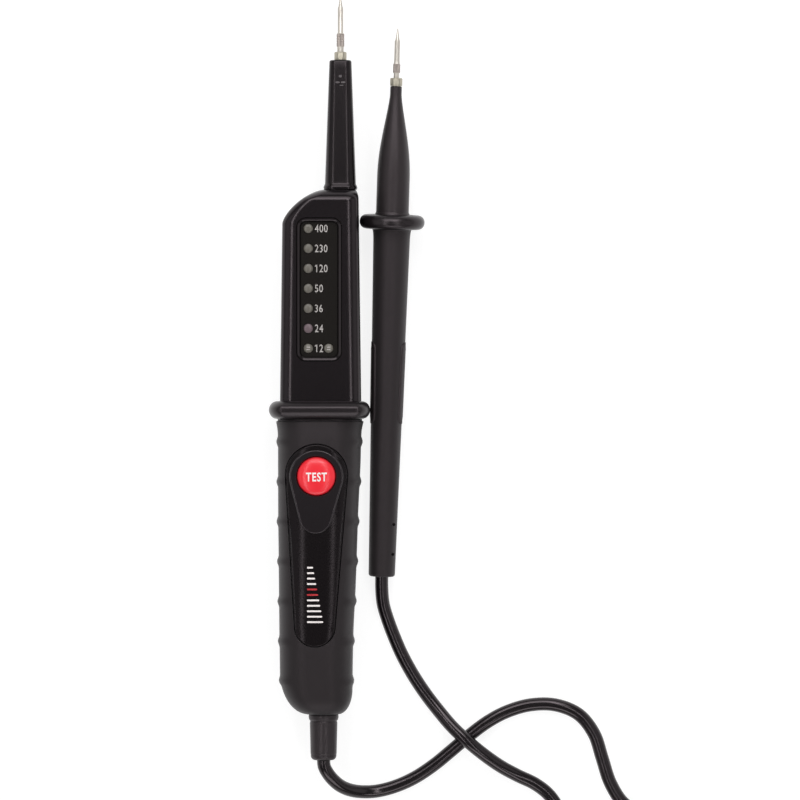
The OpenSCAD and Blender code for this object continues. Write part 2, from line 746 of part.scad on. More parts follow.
// The end of the lead inside the grip, its clamp and its two wires
inner_lead_len = 34;
inner_lead_y = relief_end - relief_len;
clamp_in = 9;
clamp_y = relief_end + rubber_t + wall + clamp_in;
clamp_t = 1.8;
clamp_len = 6;
clamp_foot_w = 5;
clamp_bottom = grip_back + rubber_t + wall + seat_gap;
module inner_lead() color(lead_black) along_y(relief_x, inner_lead_y, relief_z)
    cylinder(r = lead_r, h = inner_lead_len, $fn = round_steps);
module cable_clamp() color(handle_black) difference() {
    union() {
        along_y(relief_x, clamp_y, relief_z)
            cylinder(r = lead_r + clamp_t, h = clamp_len, $fn = round_steps);
        translate([-clamp_foot_w / 2, clamp_y, clamp_bottom])
            cube([clamp_foot_w, clamp_len, relief_z - clamp_bottom]);
    }
    along_y(relief_x, clamp_y - over, relief_z)
        cylinder(r = lead_r + fit_gap / 2, h = clamp_len + 2 * over, $fn = round_steps);
}

// A tube swept along points: a ring of n sides at each point, square to the path
function unit(v) = v / norm(v);
function way(p, i) = unit(p[min(i + 1, len(p) - 1)] - p[max(i - 1, 0)]);
function side_of(t) = unit(cross(t, [0, 0, 1]));
function tube_ring(c, t, r, n) = let (a = side_of(t), b = cross(a, t))
    [for (k = [0 : n - 1]) c + r * (cos(360 * (k + 0.5) / n) * a + sin(360 * (k + 0.5) / n) * b)];
function tube_faces(n, m) = concat(
    [for (j = [0 : m - 2]) for (k = [0 : n - 1]) each [
        [j * n + k, j * n + (k + 1) % n, (j + 1) * n + (k + 1) % n],
        [j * n + k, (j + 1) * n + (k + 1) % n, (j + 1) * n + k]]],
    [[for (k = [n - 1 : -1 : 0]) k]],
    [[for (k = [0 : n - 1]) (m - 1) * n + k]]);
module tube(p, r, n, first, last) {
    m = len(p);
    points = [for (i = [0 : m - 1]) each tube_ring(p[i],
        i == 0 ? first : i == m - 1 ? last : way(p, i), r, n)];
    polyhedron(points, tube_faces(n, m), convexity = 8);
}
function run_length(p) = len(p) < 2 ? 0 : [for (i = 1, sum = norm(p[1] - p[0]); i < len(p);
    i = i + 1, sum = sum + (i < len(p) ? norm(p[i] - p[i - 1]) : 0)) sum][len(p) - 2];

wire_r = 0.7;
wire_x = 1.5;
wire_start = inner_lead_y + inner_lead_len + fit_gap;
wire_on_board = 3;
wire_end = board_low + wire_on_board;
wire_low = board_bottom - wire_r - fit_gap;
module inner_wires() color(button_red) for (sx = [-1, 1]) tube([
    [relief_x + sx * wire_x / 1.5, wire_start, relief_z],
    [relief_x + sx * wire_x, wire_start + (wire_end - wire_start) / 4, relief_z],
    [sx * wire_x * 1.6, wire_start + (wire_end - wire_start) / 2, wire_low],
    [sx * wire_x * 2, wire_start + (wire_end - wire_start) * 3 / 4, wire_low],
    [sx * wire_x * 2, wire_end, wire_low]], wire_r, 8, [0, 1, 0], [0, 1, 0]);

// The second probe lies on its guard disc and on its lower end
second_x = 26.05;
second_y = 67.7;
second_yaw = 1.69;
disc_r = disc_d / 2;
handle_end_r = handle_end_d / 2;
second_pitch = asin((disc_r - handle_end_r) / handle_len);
second_z = disc_r * cos(second_pitch) + disc_t / 2 * sin(second_pitch);

// Places a piece that is turned round +Z: its axis becomes the probe's, tip first
module on_second_probe() translate([second_x, second_y, second_z])
    rotate([0, 0, -second_yaw]) rotate([second_pitch, 0, 0]) rotate([-90, 0, 0]) children();

nose_r = nose_d / 2;
nose_tip_r = 2.1;
nose_tip_len = 3;
nose_taper_len = 30;
nose_steps = 14;
nose_power = 1.3;
rod_r = shank_r;
rod_hole_r = rod_r + fit_gap;
module second_nose() color(handle_black) on_second_probe() difference() {
    rotate_extrude($fn = round_steps) polygon(concat(
        [[0, disc_t / 2 + fit_gap / 2], [nose_r, disc_t / 2 + fit_gap / 2]],
        [for (i = [0 : nose_steps]) let (u = 1 - i / nose_steps)
            [mix(nose_tip_r, nose_r, pow(sin(90 * u), nose_power)),
                nose_len - nose_tip_len - nose_taper_len * u]],
        [[nose_tip_r, nose_len], [0, nose_len]]));
    cylinder(r = rod_hole_r, h = nose_len + over, $fn = round_steps);
}

// Guard disc: a thick rounded rim round a hub
disc_steps = 8;
disc_power = 2.6;
module second_guard_disc() color(handle_black) on_second_probe() difference() {
    rotate_extrude($fn = 2 * round_steps) polygon(concat([[0, -disc_t / 2]],
        [for (i = [-disc_steps : disc_steps]) let (t = 90 * i / disc_steps)
            [disc_r - disc_t / 2 + disc_t / 2 * sign_pow(cos(t), 2 / disc_power),
                disc_t / 2 * sign_pow(sin(t), 2 / disc_power)]],
        [[0, disc_t / 2]]));
    translate([0, 0, -disc_t]) cylinder(r = rod_hole_r, h = 2 * disc_t, $fn = round_steps);
}

// Handle: a flare under the disc, a long taper and a rounded end
flare_r = 7.2;
flare_len = 4.5;
handle_r = 6.6;
handle_round = 0.9;
handle_hollow_r = 2.6;
bush_r = 3.5;
bush_len = 6;
function handle_at(v) = mix(handle_r, handle_end_r, v / handle_len);
module handle_form(grow) rotate_extrude($fn = round_steps) polygon(concat(
    [[0, -disc_t / 2 - fit_gap / 2]],
    [for (i = [0 : arc_steps]) let (t = 90 * i / arc_steps)
        [handle_r + grow + (flare_r - handle_r) * (1 - sin(t)),
            -disc_t / 2 - fit_gap / 2 - flare_len * (1 - cos(t))]],
    [for (i = [0 : arc_steps]) let (t = 90 * i / arc_steps)
        [handle_end_r + grow - handle_round * (1 - cos(t)),
            -handle_len + handle_round * (1 - sin(t))]],
    [[0, -handle_len]]));
module second_handle() color(handle_black) on_second_probe() difference() {
    handle_form(0);
    translate([0, 0, -handle_len / 3]) cylinder(r = rod_hole_r, h = handle_len, $fn = round_steps);
    translate([0, 0, -handle_len - over])
        cylinder(r = handle_hollow_r, h = handle_len * 2 / 3 + over, $fn = round_steps);
    translate([0, 0, -handle_len - over])
        cylinder(r = bush_r + fit_gap / 2, h = bush_len + over, $fn = round_steps);
}

// Grip pads on both sides of the handle
pad_h = 0.45;
pad_start = 43.2;
pad_len = 29.5;
pad_half_w = 4.4;
module second_side_pads() color(grip_black) on_second_probe() difference() {
    intersection() {
        handle_form(pad_h);
        translate([0, 0, -pad_start - pad_len / 2]) rotate([0, 90, 0])
            translate([0, 0, -span / 2]) rounded_plate(pad_len, 2 * pad_half_w, pad_half_w / 2, span);
    }
    handle_form(fit_gap / 2);
}

second_neck_r = 1;
second_seat_len = 3.2;
second_taper = 1.5;
module second_pin() color(nickel) on_second_probe()
    translate([0, 0, nose_len + fit_gap + collar_len])
        metal_pin(second_bare, tip_d / 2, second_neck_r, [second_seat_d / 2, second_seat_len],
            second_taper, fit_gap + collar_len + nose_len / 2);
module second_pin_collar() color(brass) on_second_probe() translate([0, 0, nose_len + fit_gap])
    metal_collar();

// Brass rod from the pin's shank to the lead
rod_top = nose_len / 2 - fit_gap / 2;
rod_bottom = -handle_len / 3 - handle_len / 6;
module second_contact_rod() color(brass) on_second_probe() translate([0, 0, rod_bottom])
    cylinder(r = rod_r, h = rod_top - rod_bottom, $fn = round_steps);
module second_inner_lead() color(lead_black) on_second_probe() translate([0, 0, -handle_len])
    cylinder(r = lead_r, h = rod_bottom + handle_len - fit_gap / 2, $fn = round_steps);
module second_end_bush() color(lead_black) on_second_probe() translate([0, 0, -handle_len])
    difference() {
        cylinder(r = bush_r, h = bush_len - fit_gap, $fn = round_steps);
        translate([0, 0, -over]) cylinder(r = lead_r + fit_gap, h = bush_len + 2 * over,
            $fn = round_steps);
    }

// Where the lead leaves the tester and the second probe, and which way
second_way = [sin(second_yaw) * cos(second_pitch), cos(second_yaw) * cos(second_pitch),
    sin(second_pitch)];
second_exit = [second_x, second_y, second_z] - handle_len * second_way;
tester_exit = [relief_x, relief_end - relief_len, relief_z];

// The coil: it winds in on the table and out again on top, one turn after another
coil_x = 121.8;
coil_y = -179;
coil_r = 33.4;
coil_turns = 4.75;
coil_step = 5.4;
coil_rise = 5.3;
coil_steps = 24;
tie_t = 0.8;
tie_w = 7;
coil_z = lead_r + tie_t + fit_gap;
function coil_in(n) = min(n, coil_turns / 2) - max(n - coil_turns / 2, 0);
function coil_up(n) = coil_rise * clamp01((n - coil_turns / 2) * 2 + 0.5);
function coil_point(n) = let (r = coil_r - coil_step * coil_in(n), a = 90 - 360 * n)
    [coil_x + r * cos(a), coil_y + r * sin(a), coil_z + coil_up(n)];
coil_count = round(coil_turns * coil_steps);
coil_points = [for (i = [0 : coil_count]) coil_point(coil_turns * i / coil_count)];
coil_first = [1, 0, 0];
coil_last = [0, 1, 0];
coil_start = coil_points[0] - lead_d * coil_first;
coil_end = coil_points[coil_count] + lead_d * coil_last;
coil_path = concat([coil_start], coil_points, [coil_end]);
coil_near = round(coil_steps / 2);
coil_gap = min([for (i = [0 : len(coil_path) - 1]) for (j = [i + coil_near : 1 : len(coil_path) - 1])
    norm(coil_path[i] - coil_path[j])]) - lead_d;

// Points of the two free stretches, chosen along the photographed lead
lead_on_table = 2.4;
tester_route = [[1.6, -128.2, 12.6], [2.8, -130.6, 11.9], [4.8, -133.2, 10.6], [7.6, -135.6, 8.7],
    [11.2, -137.2, 6.4], [15.6, -137.9, 4.2], [20.6, -137.7, 2.9], [27, -136.1, 2.4],
    [34, -133, 2.4], [41, -128.4, 2.4], [47.6, -123, 2.4], [54, -117.6, 2.4],
    [60.6, -112.7, 2.4], [67.6, -109, 2.4], [76, -106.6, 2.4], [85, -106.6, 2.4],
    [93.4, -110, 2.4], [99, -117, 2.4], [102, -126, 2.4], [105, -135, 2.5],
    [110, -142.4, 2.9]];
probe_route = [[22.3, -64.5, 4.4], [22.8, -70, 3.4], [24.2, -75, 2.6], [26.4, -81, 2.4],
    [29.4, -88, 2.4], [33.4, -95.4, 2.4], [38, -102.4, 2.8], [42.8, -108.6, 4.2],
    [47.8, -114.4, 6.3], [53.4, -119.6, 7.7], [59.2, -124.4, 6.3], [65.4, -128.8, 4.2],
    [71.6, -132.2, 2.8], [77.8, -135.2, 2.4], [83, -139.4, 2.4], [86.6, -145.4, 2.6],
    [88, -152.6, 3.6], [88.3, -160.2, 5.8], [88.4, -167.6, 8]];
tester_path = concat([tester_exit], tester_route, [coil_start]);
probe_path = concat([second_exit], probe_route, [coil_end]);
lead_sides = 8;

module lead_tester_side() color(lead_black)
    tube(tester_path, lead_r, lead_sides, [0, -1, 0], coil_first);
module lead_coil() color(lead_black) tube(coil_path, lead_r, 6, coil_first, coil_last);
module lead_probe_side() color(lead_black)
    tube(probe_path, lead_r, lead_sides, -second_way, -coil_last);

// A hook-and-loop strap round all the turns of the coil
tie_inner = coil_r - coil_step * coil_turns / 2 - lead_r - seat_gap;
tie_outer = coil_r + lead_r + seat_gap;
tie_height = lead_d + coil_rise + 2 * fit_gap;
tie_round = 2;
module tie_outline(grow) rounded_plate(tie_outer - tie_inner + 2 * grow,
    tie_height + 2 * grow, tie_round + grow, tie_w);
module coil_tie() color(grip_black)
    translate([coil_x + (tie_inner + tie_outer) / 2, coil_y - tie_w / 2, tie_t + tie_height / 2])
        rotate([90, 0, 0]) mirror([0, 0, 1]) difference() {
            tie_outline(tie_t);
            translate([0, 0, -over]) scale([1, 1, 2]) tie_outline(0);
        }

echo(coil_gap = coil_gap, coil_length = run_length(coil_path),
    tester_length = run_length(tester_path), probe_length = run_length(probe_path));
echo(second_exit = second_exit, second_way = second_way, second_z = second_z);

front_shell();
rear_shell();
probe_sleeve();
probe_pin();
pin_collar();
pin_clip();
window_frame();
display_panel();
lamps();
circuit_board();
board_resistors();
logic_chip();
switch_body();
switch_plunger();
finger_guard();
grip_sleeve();
grip_inlay();
button_island();
test_button();
housing_screws();
strain_relief();
cable_clamp();
inner_lead();
inner_wires();
second_nose();
second_guard_disc();
second_handle();
second_side_pads();
second_pin();
second_pin_collar();
second_contact_rod();
second_inner_lead();
second_end_bush();
lead_tester_side();
lead_coil();
lead_probe_side();
coil_tie();
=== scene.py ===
"""A two-pole voltage tester lying on a pale floor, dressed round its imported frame."""

import logging
import math
from dataclasses import dataclass, replace
from enum import Enum
from typing import Callable, Sequence

import bmesh
import bpy
from mathutils import Matrix, Vector


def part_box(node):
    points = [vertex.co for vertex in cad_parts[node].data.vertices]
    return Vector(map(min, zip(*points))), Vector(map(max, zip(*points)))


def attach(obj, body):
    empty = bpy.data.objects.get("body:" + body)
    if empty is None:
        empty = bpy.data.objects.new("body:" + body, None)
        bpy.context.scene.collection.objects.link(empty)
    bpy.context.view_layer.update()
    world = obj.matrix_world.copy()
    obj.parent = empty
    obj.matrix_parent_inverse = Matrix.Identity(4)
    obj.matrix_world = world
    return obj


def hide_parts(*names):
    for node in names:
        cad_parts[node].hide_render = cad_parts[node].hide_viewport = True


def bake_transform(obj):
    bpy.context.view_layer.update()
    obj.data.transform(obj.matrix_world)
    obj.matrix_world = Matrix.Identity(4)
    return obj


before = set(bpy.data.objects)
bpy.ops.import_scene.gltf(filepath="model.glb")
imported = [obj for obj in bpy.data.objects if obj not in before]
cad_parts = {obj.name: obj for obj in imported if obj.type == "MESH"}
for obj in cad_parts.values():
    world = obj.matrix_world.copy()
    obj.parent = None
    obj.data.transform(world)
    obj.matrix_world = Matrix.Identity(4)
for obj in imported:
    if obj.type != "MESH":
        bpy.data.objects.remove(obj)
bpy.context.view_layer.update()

LOG = logging.getLogger("voltage_tester")
MM = 0.001
TABLE_Z = 0.0
SMOOTH_ANGLE = math.radians(32)
CORNER_LIMIT = 0.47

Point = tuple[float, float, float]
Flat = tuple[float, float]
Ring = list[Point]
Outline = list[Flat]
Table = tuple[Flat, ...]
Place = Callable[[Point], Point]
Piece = bpy.types.Object
Material = bpy.types.Material
Tree = bpy.types.NodeTree
Node = bpy.types.Node
Socket = bpy.types.NodeSocket


class Body(Enum):
    """The bodies that the dressed pieces ride on."""

    TESTER = "tester"
    BUTTON = "test_button"
    PROBE = "second_probe"


class Axis(Enum):
    """The axes that round tools run along."""

    Y = "y"
    Z = "z"


class Slot(Enum):
    """The record's material slots, passed along with the dressed pieces."""

    HOUSING = "gloss_housing"
    PANEL = "display_panel"
    LAMP = "lamp"
    RUBBER = "grip_rubber"
    HANDLE = "handle_plastic"
    BUTTON = "button_red"
    NICKEL = "nickel_pin"
    BRASS = "brass"
    LEAD = "lead_pvc"


# Small sums


def clamp01(u: float) -> float:
    """Keeps a share between 0 and 1."""
    return min(max(u, 0.0), 1.0)


def mix(a: float, b: float, u: float) -> float:
    """The value at share u of the way from a to b."""
    return a + (b - a) * u


def edge_rise(u: float, power: float) -> float:
    """Rise of a rounded edge: 0 where it starts and 1 where it ends."""
    return 1 - (1 - clamp01(u) ** power) ** (1 / power)


def signed_power(v: float, power: float) -> float:
    """A power that keeps the sign."""
    return math.copysign(abs(v) ** power, v)


def quarter(steps: int, first: int = 0, last: int | None = None) -> Outline:
    """Cosine and sine at even steps of a quarter turn.

    Args:
        steps: Steps in the whole quarter.
        first: The step to begin with.
        last: The step to end with, or None for the last of the quarter.

    Returns:
        One pair for each step.
    """
    turns = [math.pi / 2 * i / steps for i in range(first, (steps if last is None else last) + 1)]
    return [(math.cos(t), math.sin(t)) for t in turns]


def look_up(s: float, table: Table) -> float:
    """Reads a table of (place, value) with smooth curves between its rows.

    Args:
        s: The place to read.
        table: Rows in rising order of place.

    Returns:
        The value there, held at the first and last rows.
    """
    if s <= table[0][0]:
        return table[0][1]
    if s >= table[-1][0]:
        return table[-1][1]
    i = max(k for k in range(len(table) - 1) if table[k][0] <= s)
    (x0, y0), (x1, y1) = table[i], table[i + 1]
    before = table[max(i - 1, 0)]
    after = table[min(i + 2, len(table) - 1)]
    span = x1 - x0
    m0 = (y1 - before[1]) / (x1 - before[0]) * span
    m1 = (after[1] - y0) / (after[0] - x0) * span
    t = (s - x0) / span
    return ((2 * t ** 3 - 3 * t ** 2 + 1) * y0 + (t ** 3 - 2 * t ** 2 + t) * m0
            + (3 * t ** 2 - 2 * t ** 3) * y1 + (t ** 3 - t ** 2) * m1)


# Meshes


def ring_surface(name: str, rings: Sequence[Ring], wrap: bool = False) -> Piece:
    """Joins closed rings of points, in millimetres, into one closed surface.

    Args:
        name: Name of the new object.
        rings: Rings of equal length, or of one point where the surface closes to a pole.
        wrap: Whether the last ring joins the first, as on a piece with a hole.

    Returns:
        The mesh object, with its faces turned outwards.
    """
    work = bmesh.new()
    rows = [[work.verts.new(Vector(p) * MM) for p in ring] for ring in rings]
    pairs = list(zip(rows, rows[1:])) + ([(rows[-1], rows[0])] if wrap else [])
    for near, far in pairs:
        count = max(len(near), len(far))
        for i in range(count):
            j = (i + 1) % count
            if len(near) == 1:
                work.faces.new([near[0], far[i], far[j]])
            elif len(far) == 1:
                work.faces.new([near[i], near[j], far[0]])
            else:
                work.faces.new([near[i], near[j], far[j], far[i]])
    if not wrap:
        for row in (rows[0], rows[-1]):
            if len(row) > 2:
                work.faces.new(row)
    bmesh.ops.recalc_face_normals(work, faces=work.faces)
    return object_from(name, work)


def object_from(name: str, work: bmesh.types.BMesh) -> Piece:
    """Makes a linked object of a bmesh and frees the bmesh.

    Args:
        name: Name of the new object.
        work: The mesh to take over.

    Returns:
        The object.
    """
    mesh = bpy.data.meshes.new(name)
    work.to_mesh(mesh)
    work.free()
    made = bpy.data.objects.new(name, mesh)
    bpy.context.scene.collection.objects.link(made)
    return made


def points_piece(name: str, points: Sequence[Point], linked: bool = False) -> Piece:
    """A piece of loose points, in millimetres, or of the path through them.

    Args:
        name: Name of the new object.
        points: Their places.
        linked: Whether edges join them in a row.

    Returns:
        The object.
    """
    work = bmesh.new()
    verts = [work.verts.new(Vector(p) * MM) for p in points]
    for a, b in zip(verts, verts[1:] if linked else ()):
        work.edges.new((a, b))
    return object_from(name, work)


def remove(piece: Piece) -> None:
    """Deletes a helper object."""
    bpy.data.objects.remove(piece)


def applied(piece: Piece) -> Piece:
    """Turns what the modifiers give into a plain mesh and removes them.

    Args:
        piece: A mesh or text object.

    Returns:
        The mesh object, under the same name.
    """
    graph = bpy.context.evaluated_depsgraph_get()
    mesh = bpy.data.meshes.new_from_object(piece.evaluated_get(graph), depsgraph=graph)
    mesh.name = piece.name
    piece.modifiers.clear()
    if piece.type == "MESH":
        piece.data = mesh
        return piece
    made = bpy.data.objects.new(piece.name, mesh)
    bpy.context.scene.collection.objects.link(made)
    name = piece.name
    remove(piece)
    made.name = name
    return made


def carve(piece: Piece, tools: Sequence[Piece], adds: bool = False) -> Piece:
    """Cuts tools out of a closed mesh, or adds them to it, then deletes the tools.

    Args:
        piece: The closed mesh.
        tools: Closed meshes to cut out or to add.
        adds: Whether they are added.

    Returns:
        The piece.
    """
    for tool in tools:
        step = piece.modifiers.new("carve", "BOOLEAN")
        step.operation = "UNION" if adds else "DIFFERENCE"
        step.solver = "MANIFOLD"
        step.object = tool
    applied(piece)
    for tool in tools:
        remove(tool)
    return piece


def box_tool(low: Point, high: Point) -> Piece:
    """A box between two corners, in millimetres."""
    ring = [(low[0], low[2]), (high[0], low[2]), (high[0], high[2]), (low[0], high[2])]
    return ring_surface("tool", [[(x, y, z) for x, z in ring] for y in (low[1], high[1])])


def bar_along(axis: Axis, start: Point, radius: float, length: float, steps: int = 64) -> Piece:
    """A round bar from a point along one axis, in millimetres.

    Args:
        axis: The axis that it runs along.
        start: Middle of its first end.
        radius: Its radius.
        length: Its length.
        steps: Sides of its section.

    Returns:
        The bar.
    """
    turn = [2 * math.pi * i / steps for i in range(steps)]
    x, y, z = start
    if axis is Axis.Y:
        rings = [[(x + radius * math.cos(t), y + h, z + radius * math.sin(t)) for t in turn]
                 for h in (0, length)]
    else:
        rings = [[(x + radius * math.cos(t), y + radius * math.sin(t), z + h) for t in turn]
                 for h in (0, length)]
    return ring_surface("tool", rings)


def prism(outline: Sequence[Flat], low: float, high: float) -> Piece:
    """An upright prism over an outline in X and Y, in millimetres."""
    return ring_surface("tool", [[(x, y, z) for x, y in outline] for z in (low, high)])


def lathe(name: str, profile: Sequence[Flat], place: Place, steps: int = 96, wrap: bool = False,
          swell: Callable[[float, float], float] | None = None) -> Piece:
    """Turns a profile of (radius, height) round +Z and places it.

    Args:
        name: Name of the new object.
        profile: Points in millimetres; a radius of 0 closes to a pole.
        place: Moves a point from the lathe's own frame to the tester's frame.
        steps: Steps round the turn.
        wrap: Whether the profile closes on itself, as on a ring.
        swell: Factor on the radius, from angle and height, for flutes.

    Returns:
        The mesh object.
    """
    rings = []
    for radius, height in profile:
        if radius <= 0:
            rings.append([place((0.0, 0.0, height))])
            continue
        ring = []
        for i in range(steps):
            angle = 2 * math.pi * i / steps
            r = radius * (swell(angle, height) if swell else 1)
            ring.append(place((r * math.cos(angle), r * math.sin(angle), height)))
        rings.append(ring)
    return ring_surface(name, rings, wrap)


def along_y(x: float, y: float, z: float) -> Place:
    """Places a lathe's +Z along the tester's +Y from a point."""
    return lambda p: (x + p[0], y + p[2], z - p[1])


def upright(x: float, y: float, z: float) -> Place:
    """Places a lathe upright on a point."""
    return lambda p: (x + p[0], y + p[1], z + p[2])


# Materials


def hex_colour(text: str) -> tuple[float, float, float, float]:
    """Turns an sRGB hex colour into linear RGBA.

    Args:
        text: The colour as # and six digits.

    Returns:
        Red, green, blue and alpha.
    """
    values = [int(text[i:i + 2], 16) / 255 for i in (1, 3, 5)]
    linear = [v / 12.92 if v <= 0.04045 else ((v + 0.055) / 1.055) ** 2.4 for v in values]
    return (*linear, 1.0)


# A Mix node's colour sockets, which share their names with its other ones
COLOUR_A, COLOUR_B, COLOUR_OUT = 6, 7, 2
# A Wave node at scale 1 has about 20 bands in a metre
BANDS_PER_METRE = 20


def add_node(tree: Tree, kind: str, inputs: dict | None = None, **settings: object) -> Node:
    """Adds a node, sets its properties, and sets or links its inputs.

    Args:
        tree: The node tree.
        kind: The node's type.
        inputs: Values or output sockets by input name or number.
        **settings: Properties of the node.

    Returns:
        The node.
    """
    made = tree.nodes.new(kind)
    for name, value in settings.items():
        setattr(made, name, value)
    for key, value in (inputs or {}).items():
        if isinstance(value, Socket):
            tree.links.new(value, made.inputs[key])
        else:
            made.inputs[key].default_value = value
    return made


def new_material(name: str) -> tuple[Material, Tree]:
    """A material with an empty node tree.

    Args:
        name: Its name.

    Returns:
        The material and its tree.
    """
    made = bpy.data.materials.new(name)
    made.use_nodes = True
    made.node_tree.nodes.clear()
    return made, made.node_tree


def end_material(tree: Tree, stain: Socket, colours: tuple[str, str], relief: Socket, deep_mm: float,
                 strength: float, inputs: dict) -> None:
    """Ends a material's tree in a stained colour, a bump, the shader and the output.

    Args:
        tree: The material's tree.
        stain: Share of the second colour over the surface.
        colours: The two colours.
        relief: Height over the surface.
        deep_mm: What a height of 1 stands for, in millimetres.
        strength: Strength of the bump.
        inputs: The shader's other inputs.
    """
    tint = add_node(tree, "ShaderNodeMix", {
        0: stain, COLOUR_A: hex_colour(colours[0]), COLOUR_B: hex_colour(colours[1])},
        data_type="RGBA").outputs[COLOUR_OUT]
    bump = add_node(tree, "ShaderNodeBump", {
        "Height": relief, "Distance": deep_mm * MM, "Strength": strength})
    shader = add_node(tree, "ShaderNodeBsdfPrincipled", {
        "Base Color": tint, "Normal": bump.outputs["Normal"], **inputs})
    add_node(tree, "ShaderNodeOutputMaterial", {"Surface": shader.outputs["BSDF"]})


@dataclass(frozen=True)
class Polymer:
    """A moulded plastic, rubber or printed ink: mottled colour, uneven gloss, fine grain.

    Roughness swings by spread either way, and glint is the tint of the reflections.
    """

    name: str
    colour: str
    shade: str
    roughness: float
    spread: float
    mottle_mm: float
    grain_mm: float
    grain_deep_mm: float
    sheen: float = 0.0
    ior: float = 1.5
    glint: str = "#fff0f6"

    def material(self) -> Material:
        """Builds the material.

        Returns:
            The material.
        """
        made, tree = new_material(self.name)
        where = add_node(tree, "ShaderNodeTexCoord").outputs["Object"]
        clouds = add_node(tree, "ShaderNodeTexNoise", {
            "Vector": where, "Scale": 1 / (self.mottle_mm * MM), "Detail": 4.0,
            "Roughness": 0.55})
        grain = add_node(tree, "ShaderNodeTexNoise", {
            "Vector": where, "Scale": 1 / (self.grain_mm * MM), "Detail": 3.0,
            "Roughness": 0.6})
        gloss = add_node(tree, "ShaderNodeMapRange", {
            "Value": grain.outputs["Fac"], "From Min": 0.25, "From Max": 0.75,
            "To Min": self.roughness - self.spread, "To Max": self.roughness + self.spread})
        end_material(tree, clouds.outputs["Fac"], (self.colour, self.shade),
                     grain.outputs["Fac"], self.grain_deep_mm, 1.0,
                     {"Roughness": gloss.outputs["Result"], "IOR": self.ior,
                      "Specular Tint": hex_colour(self.glint), "Sheen Weight": self.sheen})
        return made


@dataclass(frozen=True)
class TurnedMetal:
    """A turned metal part: fine rings from the tool along one axis, and faint stains."""

    name: str
    colour: str
    shade: str
    roughness: float
    spread: float
    ring_mm: float
    ring_deep_mm: float

    def material(self) -> Material:
        """Builds the material.

        Returns:
            The material.
        """
        made, tree = new_material(self.name)
        where = add_node(tree, "ShaderNodeTexCoord").outputs["Object"]
        stains = add_node(tree, "ShaderNodeTexNoise", {
            "Vector": where, "Scale": 1 / (1.6 * MM), "Detail": 4.0, "Roughness": 0.6})
        rings = add_node(tree, "ShaderNodeTexWave", {
            "Vector": where, "Scale": 1 / (self.ring_mm * MM) / BANDS_PER_METRE, "Distortion": 0.6,
            "Detail": 2.0, "Detail Scale": 3.0}, wave_type="BANDS", bands_direction="Y")
        gloss = add_node(tree, "ShaderNodeMapRange", {
            "Value": stains.outputs["Fac"], "From Min": 0.25, "From Max": 0.75,
            "To Min": self.roughness - self.spread, "To Max": self.roughness + self.spread})
        end_material(tree, stains.outputs["Fac"], (self.colour, self.shade),
                     rings.outputs["Fac"], self.ring_deep_mm, 0.5,
                     {"Metallic": 1.0, "Roughness": gloss.outputs["Result"]})
        return made


@dataclass(frozen=True)
class WovenStrap:
    """Hook-and-loop tape: nylon yarns crossing at right angles, with a soft nap, darker where the
    weave is low as painted shade.
    """

    name: str
    colour: str
    shade: str
    yarn_mm: float

    def material(self) -> Material:
        """Builds the material.

        Returns:
            The material.
        """
        made, tree = new_material(self.name)
        where = add_node(tree, "ShaderNodeTexCoord").outputs["UV"]
        scale = 1 / (self.yarn_mm * MM) / BANDS_PER_METRE
        warp, weft = (add_node(tree, "ShaderNodeTexWave", {
            "Vector": where, "Scale": scale, "Distortion": 0.4}, wave_type="BANDS",
            bands_direction=way) for way in ("X", "Y"))
        cross = add_node(tree, "ShaderNodeMath", {0: warp.outputs["Fac"], 1: weft.outputs["Fac"]},
                         operation="MULTIPLY")
        # The colour follows the weave's height: painted shade where it is low
        end_material(tree, cross.outputs[0], (self.shade, self.colour), cross.outputs[0], 0.15,
                     0.8, {"Roughness": 0.85, "Sheen Weight": 0.4})
        return made


